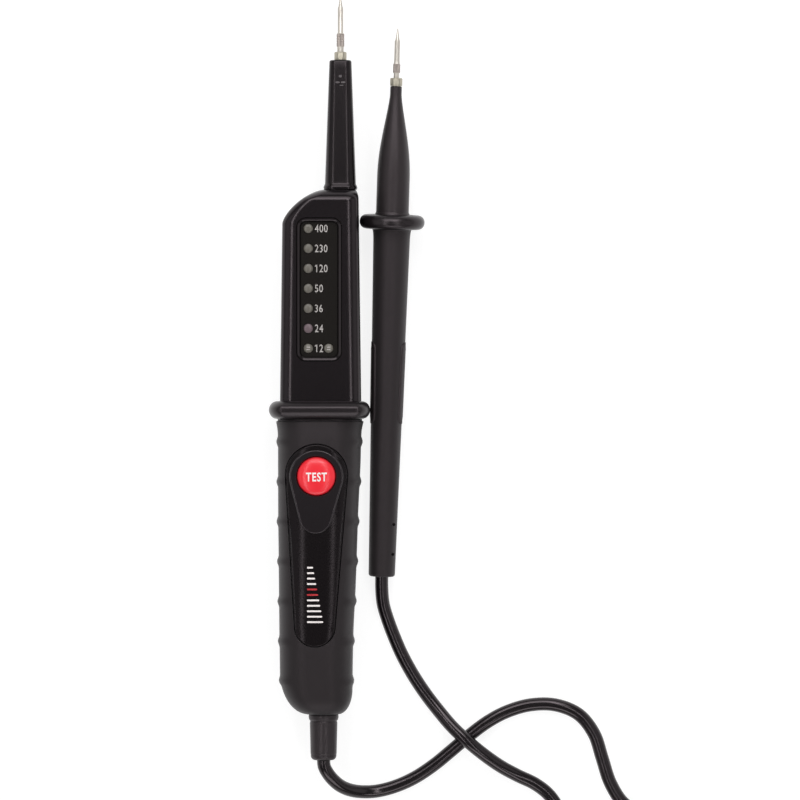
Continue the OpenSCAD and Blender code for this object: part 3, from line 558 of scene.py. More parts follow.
class Finishes:
    """The finishes of the tester, each built once."""

    def __init__(self) -> None:
        """Builds every material."""
        # ABS, moulded in a polished tool: deep black with soft, clear highlights
        self.housing = Polymer("abs_gloss_moulded", "#0b080a", "#110e10", 0.21, 0.03,
                               14, 0.5, 0.004, ior=1.48).material()
        # ABS, moulded in a finely eroded tool: black, with two soft lines of light
        self.sleeve = Polymer("abs_fine_grain", "#080607", "#0e0c0d", 0.24, 0.03,
                              10, 0.45, 0.004, ior=1.4).material()
        # Thermoplastic rubber, moulded matte: dark grey with a broad, weak sheen
        self.rubber = Polymer("tpe_rubber_matte", "#110e0f", "#171415", 0.5, 0.05,
                              7, 0.4, 0.025, sheen=0.14, ior=1.42).material()
        # The same rubber on the guard, polished by the hand: satin with clear lines of light
        self.guard = Polymer("tpe_guard_satin", "#110e10", "#171415", 0.3, 0.04,
                             7, 0.4, 0.004, ior=1.46).material()
        # ABS inlay, moulded smooth: the deepest black of all
        self.inlay = Polymer("abs_mirror_inlay", "#060405", "#0b0809", 0.28, 0.02,
                             12, 0.6, 0.003, ior=1.33).material()
        # ABS island, finer gloss: one step lighter than the inlay round it
        self.island = Polymer("abs_satin_island", "#151214", "#1b181a", 0.19, 0.03,
                              9, 0.5, 0.004).material()
        # Smoked acrylic sheet: dark, brown-black and glossy, with lamps behind it
        self.panel = Polymer("acrylic_smoked", "#151210", "#1a1715", 0.18, 0.03,
                             18, 0.7, 0.003, ior=1.4, glint="#ffffff").material()
        # ABS frame round the window: near black, with shiny lips
        self.frame = Polymer("abs_window_frame", "#110e0f", "#161314", 0.16, 0.03,
                             8, 0.5, 0.004).material()
        # ABS push button, coloured through: saturated red with pink, shiny edges
        self.button = Polymer("abs_red_button", "#ee2330", "#f2343e", 0.24, 0.03,
                              6, 0.6, 0.004).material()
        # Epoxy lamp lens, diffused: grey while it is off
        self.lamp = Polymer("epoxy_lamp_diffused", "#5a5650", "#666259", 0.32, 0.05,
                            1.4, 0.4, 0.01, glint="#ffffff").material()
        # The same lens with a pink dye
        self.lamp_pink = Polymer("epoxy_lamp_pink", "#5d5054", "#695b5f", 0.32, 0.05,
                                 1.4, 0.4, 0.01).material()
        # Screen ink, pale grey: flat and slightly chalky
        self.ink_grey = Polymer("screen_ink_grey", "#b4b0ad", "#a8a4a1", 0.55, 0.05,
                                1.5, 0.3, 0.004).material()
        # Pad print on the sleeve, mid grey: much fainter than the figures
        self.sleeve_print = Polymer("pad_print_dark", "#565354", "#4a4748", 0.5, 0.05,
                                    1.5, 0.3, 0.004).material()
        # Screen ink, white
        self.ink_white = Polymer("screen_ink_white", "#f6f0ee", "#ebe3e2", 0.5, 0.05,
                                 1.5, 0.3, 0.004).material()
        # Screen ink, red
        self.ink_red = Polymer("screen_ink_red", "#c1272d", "#b22228", 0.5, 0.05,
                               1.5, 0.3, 0.004).material()
        # Polypropylene handle, spark-eroded: even, dull charcoal
        self.handle = Polymer("pp_handle_grain", "#131011", "#1a1617", 0.52, 0.04,
                              9, 0.45, 0.014, sheen=0.12, ior=1.45).material()
        # The same plastic on the nose, worn smooth: a soft light down its middle, and a colour one
        # step lighter than the handle's, which is painted light
        self.nose = Polymer("pp_nose_satin", "#181415", "#1f1b1c", 0.44, 0.04,
                            9, 0.45, 0.01, sheen=0.1, ior=1.48).material()
        # Soft pads moulded on the handle: as dark as the nose and duller
        self.pad = Polymer("tpe_side_pad", "#181415", "#1f1b1c", 0.52, 0.05,
                           6, 0.4, 0.025).material()
        # Flexible PVC sheath, extruded: glossy, with long clear lines of light
        self.lead = Polymer("pvc_lead_sheath", "#0c090b", "#121011", 0.17, 0.03,
                            5, 0.5, 0.006).material()
        # Flexible PVC, moulded over the lead: satin
        self.relief = Polymer("pvc_strain_relief", "#1b1819", "#232021", 0.4, 0.05,
                              6, 0.45, 0.02).material()
        # Wire insulation, extruded PVC
        self.wire = Polymer("pvc_wire_red", "#b3202a", "#c22c35", 0.35, 0.05,
                            3, 0.4, 0.01).material()
        # Epoxy-glass board under green solder resist: glossy, with a faint weave
        self.board = Polymer("fr4_solder_resist", "#1d6b3a", "#18552f", 0.3, 0.06,
                             3, 0.5, 0.02).material()
        # Lacquered resistor bodies: warm beige
        self.part = Polymer("resistor_lacquer", "#cdb58a", "#bfa476", 0.35, 0.05,
                            1.2, 0.4, 0.02).material()
        # Moulded epoxy of the chip and the switch: matte black
        self.chip = Polymer("epoxy_chip_black", "#232323", "#2a2a2a", 0.55, 0.05,
                            2, 0.3, 0.01).material()
        # Bright nickel plate on turned brass: warm white metal
        self.nickel = TurnedMetal("nickel_plated_turned", "#d8d3cb", "#cac3ba", 0.46, 0.05,
                                  0.35, 0.004).material()
        # Nickel plate in the cut grooves of the seat: duller, and darker as painted shade in its
        # flutes and grooves
        self.seat = TurnedMetal("nickel_plated_grooved", "#bab0aa", "#a29892", 0.46, 0.06,
                                0.3, 0.01).material()
        # Nickel over brass, worn thin on the collar: pale, faintly yellow
        self.collar = TurnedMetal("nickel_on_brass_worn", "#bbb5a6", "#a8a293", 0.42, 0.05,
                                  0.4, 0.006).material()
        # Turned brass, lightly tarnished
        self.brass = TurnedMetal("brass_turned", "#c2b07c", "#a6925e", 0.3, 0.06,
                                 0.4, 0.01).material()
        # Zinc-plated steel screws
        self.steel = TurnedMetal("steel_zinc_plated", "#b4b6b8", "#9b9da0", 0.34, 0.06,
                                 0.5, 0.01).material()
        # Nylon hook-and-loop tape, darker between the yarns as painted shade
        self.strap = WovenStrap("nylon_hook_loop_tape", "#2b2929", "#131212", 0.8).material()


def dress(piece: Piece, material: Material, angle: float = SMOOTH_ANGLE) -> Piece:
    """Gives a piece its material, smooth faces and sharp creases.

    Args:
        piece: The piece.
        material: Its material.
        angle: Edges with a greater angle stay sharp.

    Returns:
        The piece.
    """
    piece.data.materials.clear()
    piece.data.materials.append(material)
    piece.data.shade_smooth()
    piece.data.set_sharp_from_angle(angle=angle)
    return piece


def enter(piece: Piece, body: Body, slot: Slot, *replaced: str) -> Piece:
    """Puts a finished piece on its body, in place of the named nodes.

    Args:
        piece: The piece.
        body: The body that it rides on.
        slot: Not used.
        *replaced: Names of the nodes.

    Returns:
        The piece.
    """
    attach(piece, body.value)
    if replaced:
        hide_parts(*replaced)
    LOG.info("%s rides on %s: %d faces", piece.name, body.value, len(piece.data.polygons))
    return piece


def finish(piece: Piece, material: Material, body: Body, slot: Slot, *replaced: str) -> Piece:
    """Dresses a piece and puts it on its body, in place of the named nodes."""
    return enter(dress(piece, material), body, slot, *replaced)


def dress_node(node: str, material: Material) -> None:
    """Gives a CAD node's own object a better material.

    Args:
        node: Name of the node.
        material: Its material.
    """
    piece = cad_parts[node]
    for place in range(len(piece.data.materials)):
        piece.data.materials[place] = material
    if not piece.data.materials:
        piece.data.materials.append(material)
    LOG.info("%s keeps its CAD mesh", node)


# Sections of the two moulded shells


@dataclass(frozen=True)
class Section:
    """A cross-section of a moulded body in the XZ plane, in millimetres."""

    y: float
    left: float
    right: float
    back: float
    front: float
    across: float
    back_corner: float
    front_corner: float
    power: float

    def inset(self, d: float, keep_share: float = 0.3) -> "Section":
        """The section with every side drawn in by d.

        Args:
            d: How far, in millimetres.
            keep_share: Share of each corner's radius that always stays.

        Returns:
            The smaller section.
        """
        corners = {name: max(getattr(self, name) - d, getattr(self, name) * keep_share)
                   for name in ("across", "back_corner", "front_corner")}
        return replace(self, left=self.left + d, right=self.right - d, back=self.back + d,
                       front=self.front - d, **corners)

    def at(self, y: float) -> "Section":
        """The same section at another place."""
        return replace(self, y=y)

    def front_at(self, x: float) -> float:
        """Height of the front face over a point across the section."""
        past = max(x - (self.right - self.across), self.left + self.across - x, 0.0)
        return self.front - self.front_corner * edge_rise(past / self.across, self.power)

    def ring(self, steps: int = 16, flat_steps: int = 8,
             groove: Point | None = None) -> Ring:
        """Points round the section.

        Args:
            steps: Steps along each corner.
            flat_steps: Steps along the front, back and sides.
            groove: Height, half width and depth of a parting groove in the sides.

        Returns:
            One closed ring of points, with nothing below the table.
        """
        across = min(self.across, (self.right - self.left) * CORNER_LIMIT)
        high = (self.front - self.back) * CORNER_LIMIT
        low_c = min(self.back_corner, high)
        top_c = min(self.front_corner, high)

        def corner(cx: float, cz: float, rz: float, start: float) -> Outline:
            """Points along one corner.

            Args:
                cx: Middle of the corner across.
                cz: Height of its middle.
                rz: Its radius in height.
                start: Angle of its first point, in degrees.

            Returns:
                The points.
            """
            turns = [math.radians(start + 90 * i / steps) for i in range(steps + 1)]
            return [(cx + across * signed_power(math.cos(t), 2 / self.power),
                     cz + rz * signed_power(math.sin(t), 2 / self.power)) for t in turns]

        def line(a: Flat, b: Flat) -> Outline:
            """Points between two corners, with the groove where the line is upright.

            Args:
                a: Last point of one corner.
                b: First point of the next.

            Returns:
                The points, without a and b.
            """
            upright_line = abs(a[0] - b[0]) < abs(a[1] - b[1])
            if groove and upright_line:
                z, half, deep = groove
                side = 1 if a[0] > (self.left + self.right) / 2 else -1
                up = 1 if b[1] > a[1] else -1
                return [(a[0] - side * inward, z + up * dz)
                        for dz, inward in ((-half, 0), (-half / 4, deep), (half / 4, deep), (half, 0))]
            return [(mix(a[0], b[0], i / flat_steps), mix(a[1], b[1], i / flat_steps))
                    for i in range(1, flat_steps)]

        right, left = self.right - across, self.left + across
        top, low = self.front - top_c, self.back + low_c
        corners = [corner(right, top, top_c, 0), corner(left, top, top_c, 90),
                   corner(left, low, low_c, 180), corner(right, low, low_c, 270)]
        flat: Outline = []
        for i, points in enumerate(corners):
            flat += points + line(points[-1], corners[(i + 1) % 4][0])
        return [(x, self.y, max(z, TABLE_Z)) for x, z in flat]


@dataclass(frozen=True)
class HousingForm:
    """The shape of the display housing: straight sides, a sloped shoulder, a bevelled top."""

    width: float = 29.2
    top_width: float = 27.2
    depth: float = 22.4
    length: float = 79.2
    shoulder_len: float = 12.4
    shoulder_reach: float = 14.9
    shoulder_power: float = 1.5
    bevel_len: float = 3.9
    bevel_drop: float = 4.4
    bevel_power: float = 1.6
    side_round_len: float = 3.0
    side_round_reach: float = 1.2
    corner: float = 4.7
    front_corner: float = 3.4
    back_corner: float = 4.4
    power: float = 2.0
    cap_share: float = 0.44
    x: float = 0.4
    back: float = 2.2

    @property
    def front(self) -> float:
        """Height of the front face."""
        return self.back + self.depth

    def section(self, y: float) -> Section:
        """The section at a place along the housing.

        Args:
            y: The place.

        Returns:
            The section.
        """
        half = mix(self.width, self.top_width, y / self.length) / 2
        to_top = self.length - y
        left = self.x - half + self.shoulder_reach * edge_rise(
            1 - to_top / self.shoulder_len, self.shoulder_power)
        right = self.x + half - self.side_round_reach * edge_rise(
            1 - to_top / self.side_round_len, self.shoulder_power)
        drop = self.bevel_drop * edge_rise(1 - to_top / self.bevel_len, self.bevel_power)
        return Section(y, left, right, self.back + drop, self.front - drop,
                       min(self.corner, (right - left) * self.cap_share),
                       self.back_corner, self.front_corner, self.power)

    def sections(self, shoulder_steps: int = 36, body_steps: int = 12) -> list[Section]:
        """Sections from the top to the finger guard.

        Args:
            shoulder_steps: Steps along the shoulder.
            body_steps: Steps along the straight sides.

        Returns:
            The sections in order.
        """
        places = [self.length - self.shoulder_len * (1 - c) for c, _ in quarter(shoulder_steps)]
        straight = self.length - self.shoulder_len
        places += [straight * (1 - i / body_steps) for i in range(1, body_steps + 1)]
        return [self.section(y) for y in places]


@dataclass(frozen=True)
class GripForm:
    """The shape of the rubber grip and of the core inside it."""

    width: float = 30.2
    depth: float = 26.0
    length: float = 105.8
    back: float = 0.5
    start: float = 3.6
    rubber: float = 2.2
    left_round_len: float = 15.1
    left_round_reach: float = 10.0
    right_round_len: float = 8.6
    right_round_reach: float = 5.0
    front_round_len: float = 7.0
    front_round_drop: float = 4.0
    back_round_len: float = 10.0
    back_round_rise: float = 6.2
    corner_share: float = 0.78
    height_share: float = 0.42
    power: float = 2.1
    left_shares: Table = ((0, 1.043), (0.041, 1), (0.15, 0.991), (0.31, 0.988), (0.45, 0.977),
                          (0.58, 0.969), (0.71, 0.96), (0.82, 0.95), (1, 0.94))
    right_shares: Table = ((0, 1.053), (0.041, 0.998), (0.15, 0.974), (0.31, 0.92),
                           (0.45, 0.887), (0.58, 0.854), (0.71, 0.808), (0.82, 0.79), (1, 0.775))
    front_shares: Table = ((0, 0.975), (0.08, 1), (0.5, 1), (0.75, 0.955), (1, 0.88))

    @property
    def end(self) -> float:
        """Place of the grip's lower end."""
        return -self.start - self.length

    def section(self, y: float) -> Section:
        """The section at a place along the grip, without ribs.

        Args:
            y: The place.

        Returns:
            The section.
        """
        run = -self.start - y
        s = run / self.length

        def end_rise(reach: float) -> float:
            """Rise of an edge that is rounded over the last reach of the grip."""
            return edge_rise(1 - (self.length - run) / reach, 2)

        left = (-self.width / 2 * look_up(s, self.left_shares)
                + self.left_round_reach * end_rise(self.left_round_len))
        right = (self.width / 2 * look_up(s, self.right_shares)
                 - self.right_round_reach * end_rise(self.right_round_len))
        back = self.back + self.back_round_rise * end_rise(self.back_round_len)
        front = (self.back + self.depth * look_up(s, self.front_shares)
                 - self.front_round_drop * end_rise(self.front_round_len))
        corner = (front - back) * self.height_share
        return Section(y, left, right, back, front, (right - left) / 2 * self.corner_share,
                       corner, corner, self.power)

    def sections(self, pitch: float = 0.75, end_steps: int = 26) -> list[Section]:
        """Sections from the top to the rounded end, closer together at the end.

        Args:
            pitch: Distance between two sections of the long part.
            end_steps: Steps along the rounded end.

        Returns:
            The sections in order.
        """
        body = self.length - self.left_round_len
        count = round(body / pitch)
        runs = [body * i / count for i in range(count)]
        runs += [body + self.left_round_len * s for _, s in quarter(end_steps)]
        return [self.section(-self.start - run) for run in runs]

    def core(self, d: float) -> list[Section]:
        """Sections of the core under the rubber, or of the hollow d inside it.

        Args:
            d: Depth under the core's face.

        Returns:
            The sections in order.
        """
        shares = (0, 0.041, 0.15, 0.31, 0.5, 0.71, 0.86, 0.92, 0.96, 0.985, 1)
        top = -self.start - 0.2
        full = self.length + 0.4 - 0.6 - self.rubber
        return [self.section(-self.start - self.length * u).inset(self.rubber + d).at(
            top - (full - d) * u) for u in shares]

    def nearest(self, y: float) -> Section:
        """The section at the nearest place on the grip."""
        return self.section(max(min(y, -self.start), self.end))


HOUSING = HousingForm()
GRIP = GripForm()
PARTING_Z = 12.0
FIT_GAP = 0.1
# Lower end of the housing's neck, under the guard
NECK_Y = -3.2
# Axis of the fixed pin, axis of the strain relief, and middle of the push button
PIN_X, PIN_Z = 7.47, 13.5
RELIEF_X, RELIEF_Z = 1.4, 12.8
BUTTON_X, BUTTON_Y = -1.05, -23.7
RELIEF_HOLE_R = 4.3
BUTTON_HOLE_R = 7.1
# How far ink reaches into the plastic and stands out of it
INK_SINK, INK_LIFT = 0.2, 0.035


def relief_hole() -> Piece:
    """Tool for the hole round the neck of the strain relief."""
    return bar_along(Axis.Y, (RELIEF_X, GRIP.end - 1, RELIEF_Z), RELIEF_HOLE_R, 9)


def inked(outline: Sequence[Flat], z: float) -> Piece:
    """A thin plate of ink over an outline, on a face at height z."""
    return prism(outline, z - INK_SINK, z + INK_LIFT)


def two_circles(a: Point, b: Point, grow: float = 0.0, steps: int = 48) -> Outline:
    """Outline round two circles and their common tangents.

    Args:
        a: Centre and radius of the upper circle.
        b: Centre and radius of the lower circle.
        grow: Added to both radii.
        steps: Steps along each arc.

    Returns:
        Points round the outline.
    """
    parts = 13
    turn = math.atan2(a[1] - b[1], a[0] - b[0])
    lean = math.asin((a[2] - b[2]) / math.hypot(b[0] - a[0], b[1] - a[1]))
    half = math.pi / 2

    def arc(circle: Point, start: float, sweep: float) -> Outline:
        """Points along one circle.

        Args:
            circle: Its centre and radius.
            start: Angle of its first point.
            sweep: Angle that it turns through.

        Returns:
            The points.
        """
        r = circle[2] + grow
        turns = [start + sweep * i / steps for i in range(steps + 1)]
        return [(circle[0] + r * math.cos(t), circle[1] + r * math.sin(t)) for t in turns]

    def tangent(p: Flat, q: Flat) -> Outline:
        """Points between the ends of two arcs."""
        return [(mix(p[0], q[0], j / parts), mix(p[1], q[1], j / parts)) for j in range(1, parts)]

    upper = arc(a, turn - half - lean, math.pi + 2 * lean)
    lower = arc(b, turn + half + lean, math.pi - 2 * lean)
    return upper + tangent(upper[-1], lower[0]) + lower + tangent(lower[-1], upper[0])


def rounded_outline(w: float, h: float, r: float, steps: int = 12,
                    x: float = 0.0, y: float = 0.0) -> Outline:
    """Outline of a rounded rectangle round a middle.

    Args:
        w: Width.
        h: Height.
        r: Radius of its corners.
        steps: Steps along each corner.
        x: Its middle across.
        y: Its middle along.

    Returns:
        Points round the outline.
    """
    points = []
    for cx, cy, start in ((w / 2 - r, h / 2 - r, 0), (r - w / 2, h / 2 - r, 90),
                          (r - w / 2, r - h / 2, 180), (w / 2 - r, r - h / 2, 270)):
        for t in (math.radians(start + 90 * i / steps) for i in range(steps + 1)):
            points.append((x + (cx + r * math.cos(t)), y + (cy + r * math.sin(t))))
    return points


# Lettering


def lettering(name: str, text: str, height: float, width: float | None, thick: float,
              bold: float, condense: float = 0.8, space: float = 1.0) -> Piece:
    """Flat letters with their lower left corner at the origin, in millimetres.

    Args:
        name: Name of the new object.
        text: What it says.
        height: Height of the figures.
        width: Width of the whole word, or None to use the font's own with condense.
        thick: Thickness of the ink.
        bold: How much the strokes are swelled, as a share of the height.
        condense: Width factor where width is None.
        space: Factor on the distance from letter to letter.

    Returns:
        A mesh object with its corner at the origin.
    """
    curve = bpy.data.curves.new(name, "FONT")
    curve.body = text
    curve.offset = bold
    curve.space_character = space
    curve.extrude = 0.1
    curve.resolution_u = 4
    made = bpy.data.objects.new(name, curve)
    bpy.context.scene.collection.objects.link(made)
    bpy.context.view_layer.update()
    made = applied(made)
    points = [v.co for v in made.data.vertices]
    low = [min(p[i] for p in points) for i in range(3)]
    high = [max(p[i] for p in points) for i in range(3)]
    scale_y = height / (high[1] - low[1])
    scale_x = width / (high[0] - low[0]) if width else scale_y * condense
    for p in points:
        p.x = (p.x - low[0]) * scale_x * MM
        p.y = (p.y - low[1]) * scale_y * MM
        p.z = (p.z - low[2]) / (high[2] - low[2]) * thick * MM
    work = bmesh.new()
    work.from_mesh(made.data)
    bmesh.ops.triangulate(work, faces=work.faces)
    bmesh.ops.remove_doubles(work, verts=work.verts, dist=0.001 * MM)
    bmesh.ops.recalc_face_normals(work, faces=work.faces)
    work.to_mesh(made.data)
    work.free()
    return made


def lay(piece: Piece, place: Callable[[float, float, float], Point]) -> Piece:
    """Moves every point of a flat piece, in millimetres, onto a surface.

    Args:
        piece: The piece.
        place: Gives a point's new place.

    Returns:
        The piece.
    """
    for v in piece.data.vertices:
        v.co = Vector(place(v.co.x / MM, v.co.y / MM, v.co.z / MM)) * MM
    return piece


def joined(name: str, pieces: Sequence[Piece]) -> Piece:
    """Joins the meshes of several pieces into one.

    Args:
        name: Name of the new object.
        pieces: The pieces, which are deleted.

    Returns:
        The joined piece.
    """
    work = bmesh.new()
    for piece in pieces:
        work.from_mesh(piece.data)
    for piece in pieces:
        remove(piece)
    return object_from(name, work)


# Geometry node trees


def new_tree(name: str, inputs: Sequence[tuple[str, str, object]]
             ) -> tuple[Tree, Node, dict[str, str]]:
    """A geometry tree with named inputs.

    Args:
        name: Name of the tree.
        inputs: Name, socket type and default of each input after the geometry.

    Returns:
        The tree, its input node, and the sockets' identifiers by name.
    """
    tree = bpy.data.node_groups.new(name, "GeometryNodeTree")
    tree.interface.new_socket("Geometry", in_out="INPUT", socket_type="NodeSocketGeometry")
    tree.interface.new_socket("Geometry", in_out="OUTPUT", socket_type="NodeSocketGeometry")
    names = {}
    for label, kind, value in inputs:
        socket = tree.interface.new_socket(label, in_out="INPUT", socket_type=kind)
        if value is not None:
            socket.default_value = value
        names[label] = socket.identifier
    return tree, add_node(tree, "NodeGroupInput"), names


def finish_tree(tree: Tree, source: Node, geometry: Socket) -> None:
    """Ends a tree in Realize Instances and Set Material.

    Args:
        tree: The tree.
        source: Its input node.
        geometry: What it has made.
    """
    real = add_node(tree, "GeometryNodeRealizeInstances", {"Geometry": geometry})
    painted = add_node(tree, "GeometryNodeSetMaterial", {
        "Geometry": real.outputs["Geometry"], "Material": source.outputs["Material"]})
    add_node(tree, "NodeGroupOutput", {"Geometry": painted.outputs["Geometry"]})


def run_tree(piece: Piece, tree: Tree, names: dict[str, str],
             values: dict[str, object]) -> Piece:
    """Runs a geometry tree on a piece and keeps the result as its plain mesh.

    Args:
        piece: The piece.
        tree: The tree.
        names: Its sockets' identifiers by name.
        values: Values of its inputs by name.

    Returns:
        The piece.
    """
    step = piece.modifiers.new(tree.name, "NODES")
    step.node_group = tree
    for label, value in values.items():
        step[names[label]] = value
    return applied(piece)


def copies_tree() -> tuple[Tree, dict[str, str]]:
    """A tree that puts a copy of one object on every point of a mesh.

    Returns:
        The tree, and its sockets' identifiers by name.
    """
    tree, source, names = new_tree("copies_on_points", [
        ("Piece", "NodeSocketObject", None), ("Material", "NodeSocketMaterial", None)])
    shape = add_node(tree, "GeometryNodeObjectInfo", {"Object": source.outputs["Piece"]})
    points = add_node(tree, "GeometryNodeMeshToPoints", {"Mesh": source.outputs["Geometry"]})
    placed = add_node(tree, "GeometryNodeInstanceOnPoints", {
        "Points": points.outputs["Points"], "Instance": shape.outputs["Geometry"]})
    finish_tree(tree, source, placed.outputs["Instances"])
    return tree, names


def sweep_tree() -> tuple[Tree, dict[str, str]]:
    """A tree that sweeps a round section along the edges of a path.

    Returns:
        The tree, and its sockets' identifiers by name.
    """
    tree, source, names = new_tree("sweep_round_section", [
        ("Radius", "NodeSocketFloat", 0.002), ("Sides", "NodeSocketInt", 24),
        ("Material", "NodeSocketMaterial", None)])
    path = add_node(tree, "GeometryNodeMeshToCurve", {"Mesh": source.outputs["Geometry"]})
    section = add_node(tree, "GeometryNodeCurvePrimitiveCircle", {
        "Resolution": source.outputs["Sides"], "Radius": source.outputs["Radius"]})
    tube = add_node(tree, "GeometryNodeCurveToMesh", {
        "Curve": path.outputs["Curve"], "Profile Curve": section.outputs["Curve"],
        "Fill Caps": True})
    finish_tree(tree, source, tube.outputs["Mesh"])
    return tree, names


def rib_tree() -> tuple[Tree, dict[str, str]]:
    """A tree that raises ribs round the sides and the back of the grip.

    A point moves out by Height times a power of the cosine of its distance from the
    nearest rib, times its own share in the attribute rib_share.

    Returns:
        The tree, and its sockets' identifiers by name.
    """
    tree, source, names = new_tree("grip_ribs", [
        ("Height", "NodeSocketFloat", 0.0006), ("Pitch", "NodeSocketFloat", 0.01433),
        ("First", "NodeSocketFloat", 0.0114), ("Length", "NodeSocketFloat", 0.0042),
        ("Last", "NodeSocketFloat", 6.0), ("Material", "NodeSocketMaterial", None)])
    place = add_node(tree, "GeometryNodeInputPosition").outputs[0]
    share = add_node(tree, "GeometryNodeInputNamedAttribute", {"Name": "rib_share"},
                     data_type="FLOAT").outputs["Attribute"]
    known = {name: source.outputs[name] for name in names}
    known["share"] = share
    known["y"] = add_node(tree, "ShaderNodeSeparateXYZ", {0: place}).outputs[1]
    for name, operation, first, second in (
            ("run", "MULTIPLY", "y", -1.0), ("run", "SUBTRACT", "run", "First"),
            ("phase", "DIVIDE", "run", "Pitch"), ("nearest", "ROUND", "phase", 0.0),
            ("nearest", "MAXIMUM", "nearest", 0.0), ("nearest", "MINIMUM", "nearest", "Last"),
            ("away", "SUBTRACT", "phase", "nearest"), ("away", "MULTIPLY", "away", "Pitch"),
            ("turn", "MULTIPLY", "away", math.pi), ("turn", "DIVIDE", "turn", "Length"),
            ("size", "ABSOLUTE", "turn", 0.0), ("inside", "LESS_THAN", "size", math.pi / 2),
            ("wave", "COSINE", "turn", 0.0), ("wave", "ABSOLUTE", "wave", 0.0),
            ("wave", "POWER", "wave", 1.6), ("lift", "MULTIPLY", "wave", "inside"),
            ("lift", "MULTIPLY", "lift", "share"), ("lift", "MULTIPLY", "lift", "Height")):
        terms = {i: known.get(term, term) for i, term in enumerate((first, second))}
        known[name] = add_node(tree, "ShaderNodeMath", terms, operation=operation).outputs[0]
    normal = add_node(tree, "GeometryNodeInputNormal").outputs[0]
    offset = add_node(tree, "ShaderNodeVectorMath", {0: normal, "Scale": known["lift"]},
                      operation="SCALE").outputs[0]
    moved = add_node(tree, "GeometryNodeSetPosition", {
        "Geometry": source.outputs["Geometry"], "Offset": offset})
    finish_tree(tree, source, moved.outputs["Geometry"])
    return tree, names


# Sub-assemblies


@dataclass
class Probe:
    """One turned metal pin, its axis along +Z, and its collar, in millimetres."""

    finishes: Finishes
    bare: float
    neck_r: float
    seat_r: float
    seat_len: float
    taper: float
    shank: float
    thin_r: float = 1.0
    shank_r: float = 1.6
    neck_len: float = 1.8
    cone_len: float = 4.3
    cone_root_share: float = 0.78
    point_r: float = 0.15
    collar_r: float = 2.2
    collar_len: float = 2.9
    collar_back: float = 0.8
    edge: float = 0.4
    flat_share: float = 0.92
    seat_edge: float = 0.15
    seat_rows: int = 24
    groove_deep: float = 0.07
    flutes: int = 22
    flute_share: float = 0.07

    def pin(self, name: str, place: Place) -> Piece:
        """The pin: shank, neck, fluted seat, taper, thin rod and needle point.

        Args:
            name: Name of the new object.
            place: Moves a point from the probe's own frame to the tester's.

        Returns:
            The pin with its two materials.
        """
        low, high = self.neck_len, self.neck_len + self.seat_len
        cone = self.bare - self.cone_len
        ring = self.seat_edge
        profile = [(0, -self.shank), (self.shank_r, -self.shank), (self.shank_r, 0),
                   (self.neck_r, 0), (self.neck_r, low), (self.seat_r - ring, low),
                   (self.seat_r, low + ring)]
        rows = self.seat_rows
        grooves = (rows // 3, rows // 2 + 1, rows * 2 // 3 + 2)
        profile += [(self.seat_r - (self.groove_deep if i in grooves else 0.0),
                     mix(low + ring, high - ring, i / rows)) for i in range(1, rows)]
        profile += [(self.seat_r, high - ring), (self.seat_r - ring, high),
                    (self.thin_r, high + self.taper), (self.thin_r, cone - 0.05),
                    (self.thin_r - 0.05, cone), (self.thin_r * self.cone_root_share, cone + 0.02),
                    (self.point_r, self.bare - 0.1), (self.point_r * 0.6, self.bare - 0.02),
                    (0, self.bare)]

        def flute(angle: float, height: float) -> float:
            """Cuts the flutes into the seat alone.

            Args:
                angle: Angle round the pin.
                height: Height along it.

            Returns:
                Factor on the radius.
            """
            if not low + ring < height < high - ring:
                return 1.0
            return 1 - self.flute_share * (0.5 + 0.5 * math.cos(self.flutes * angle))

        sides = 6 * self.flutes
        piece = dress(lathe(name, profile, place, sides, swell=flute), self.finishes.nickel)
        # The seat's darker nickel is painted shade in its flutes and grooves
        piece.data.materials.append(self.finishes.seat)
        first, last = (profile.index((self.seat_r, at)) for at in (low + ring, high - ring))
        for face in piece.data.polygons:
            # The first ring is one point, so a face's lowest corner tells the ring before it
            if first <= min(face.vertices) // sides + 1 <= last:
                face.material_index = 1
        return piece

    def collar(self, name: str, place: Place) -> Piece:
        """The collar: a round back, six shallow flats and a rounded front edge.

        Args:
            name: Name of the new object.
            place: Moves a point from the probe's own frame to the tester's.

        Returns:
            The collar with its material.
        """
        hole = self.shank_r + FIT_GAP / 2
        back = self.collar_back
        profile = [(hole, 0), (self.collar_r - 0.1, 0), (self.collar_r, 0.1),
                   (self.collar_r, back), (self.collar_r, back + 0.02)]
        profile += [(self.collar_r - self.edge * (1 - c), self.collar_len - self.edge * (1 - s))
                    for c, s in quarter(5)]
        profile += [(hole, self.collar_len)]

        def flats(angle: float, height: float) -> float:
            """Draws the front part's wall in to six flats.

            Args:
                angle: Angle round the collar.
                height: Height along it.

            Returns:
                Factor on the radius.
            """
            if not back < height < self.collar_len - self.edge / 2:
                return 1.0
            off = (angle % (math.pi / 3)) - math.pi / 6
            return min(1.0, self.flat_share / math.cos(off))

        piece = lathe(name, profile, place, 144, wrap=True, swell=flats)
        return dress(piece, self.finishes.collar)


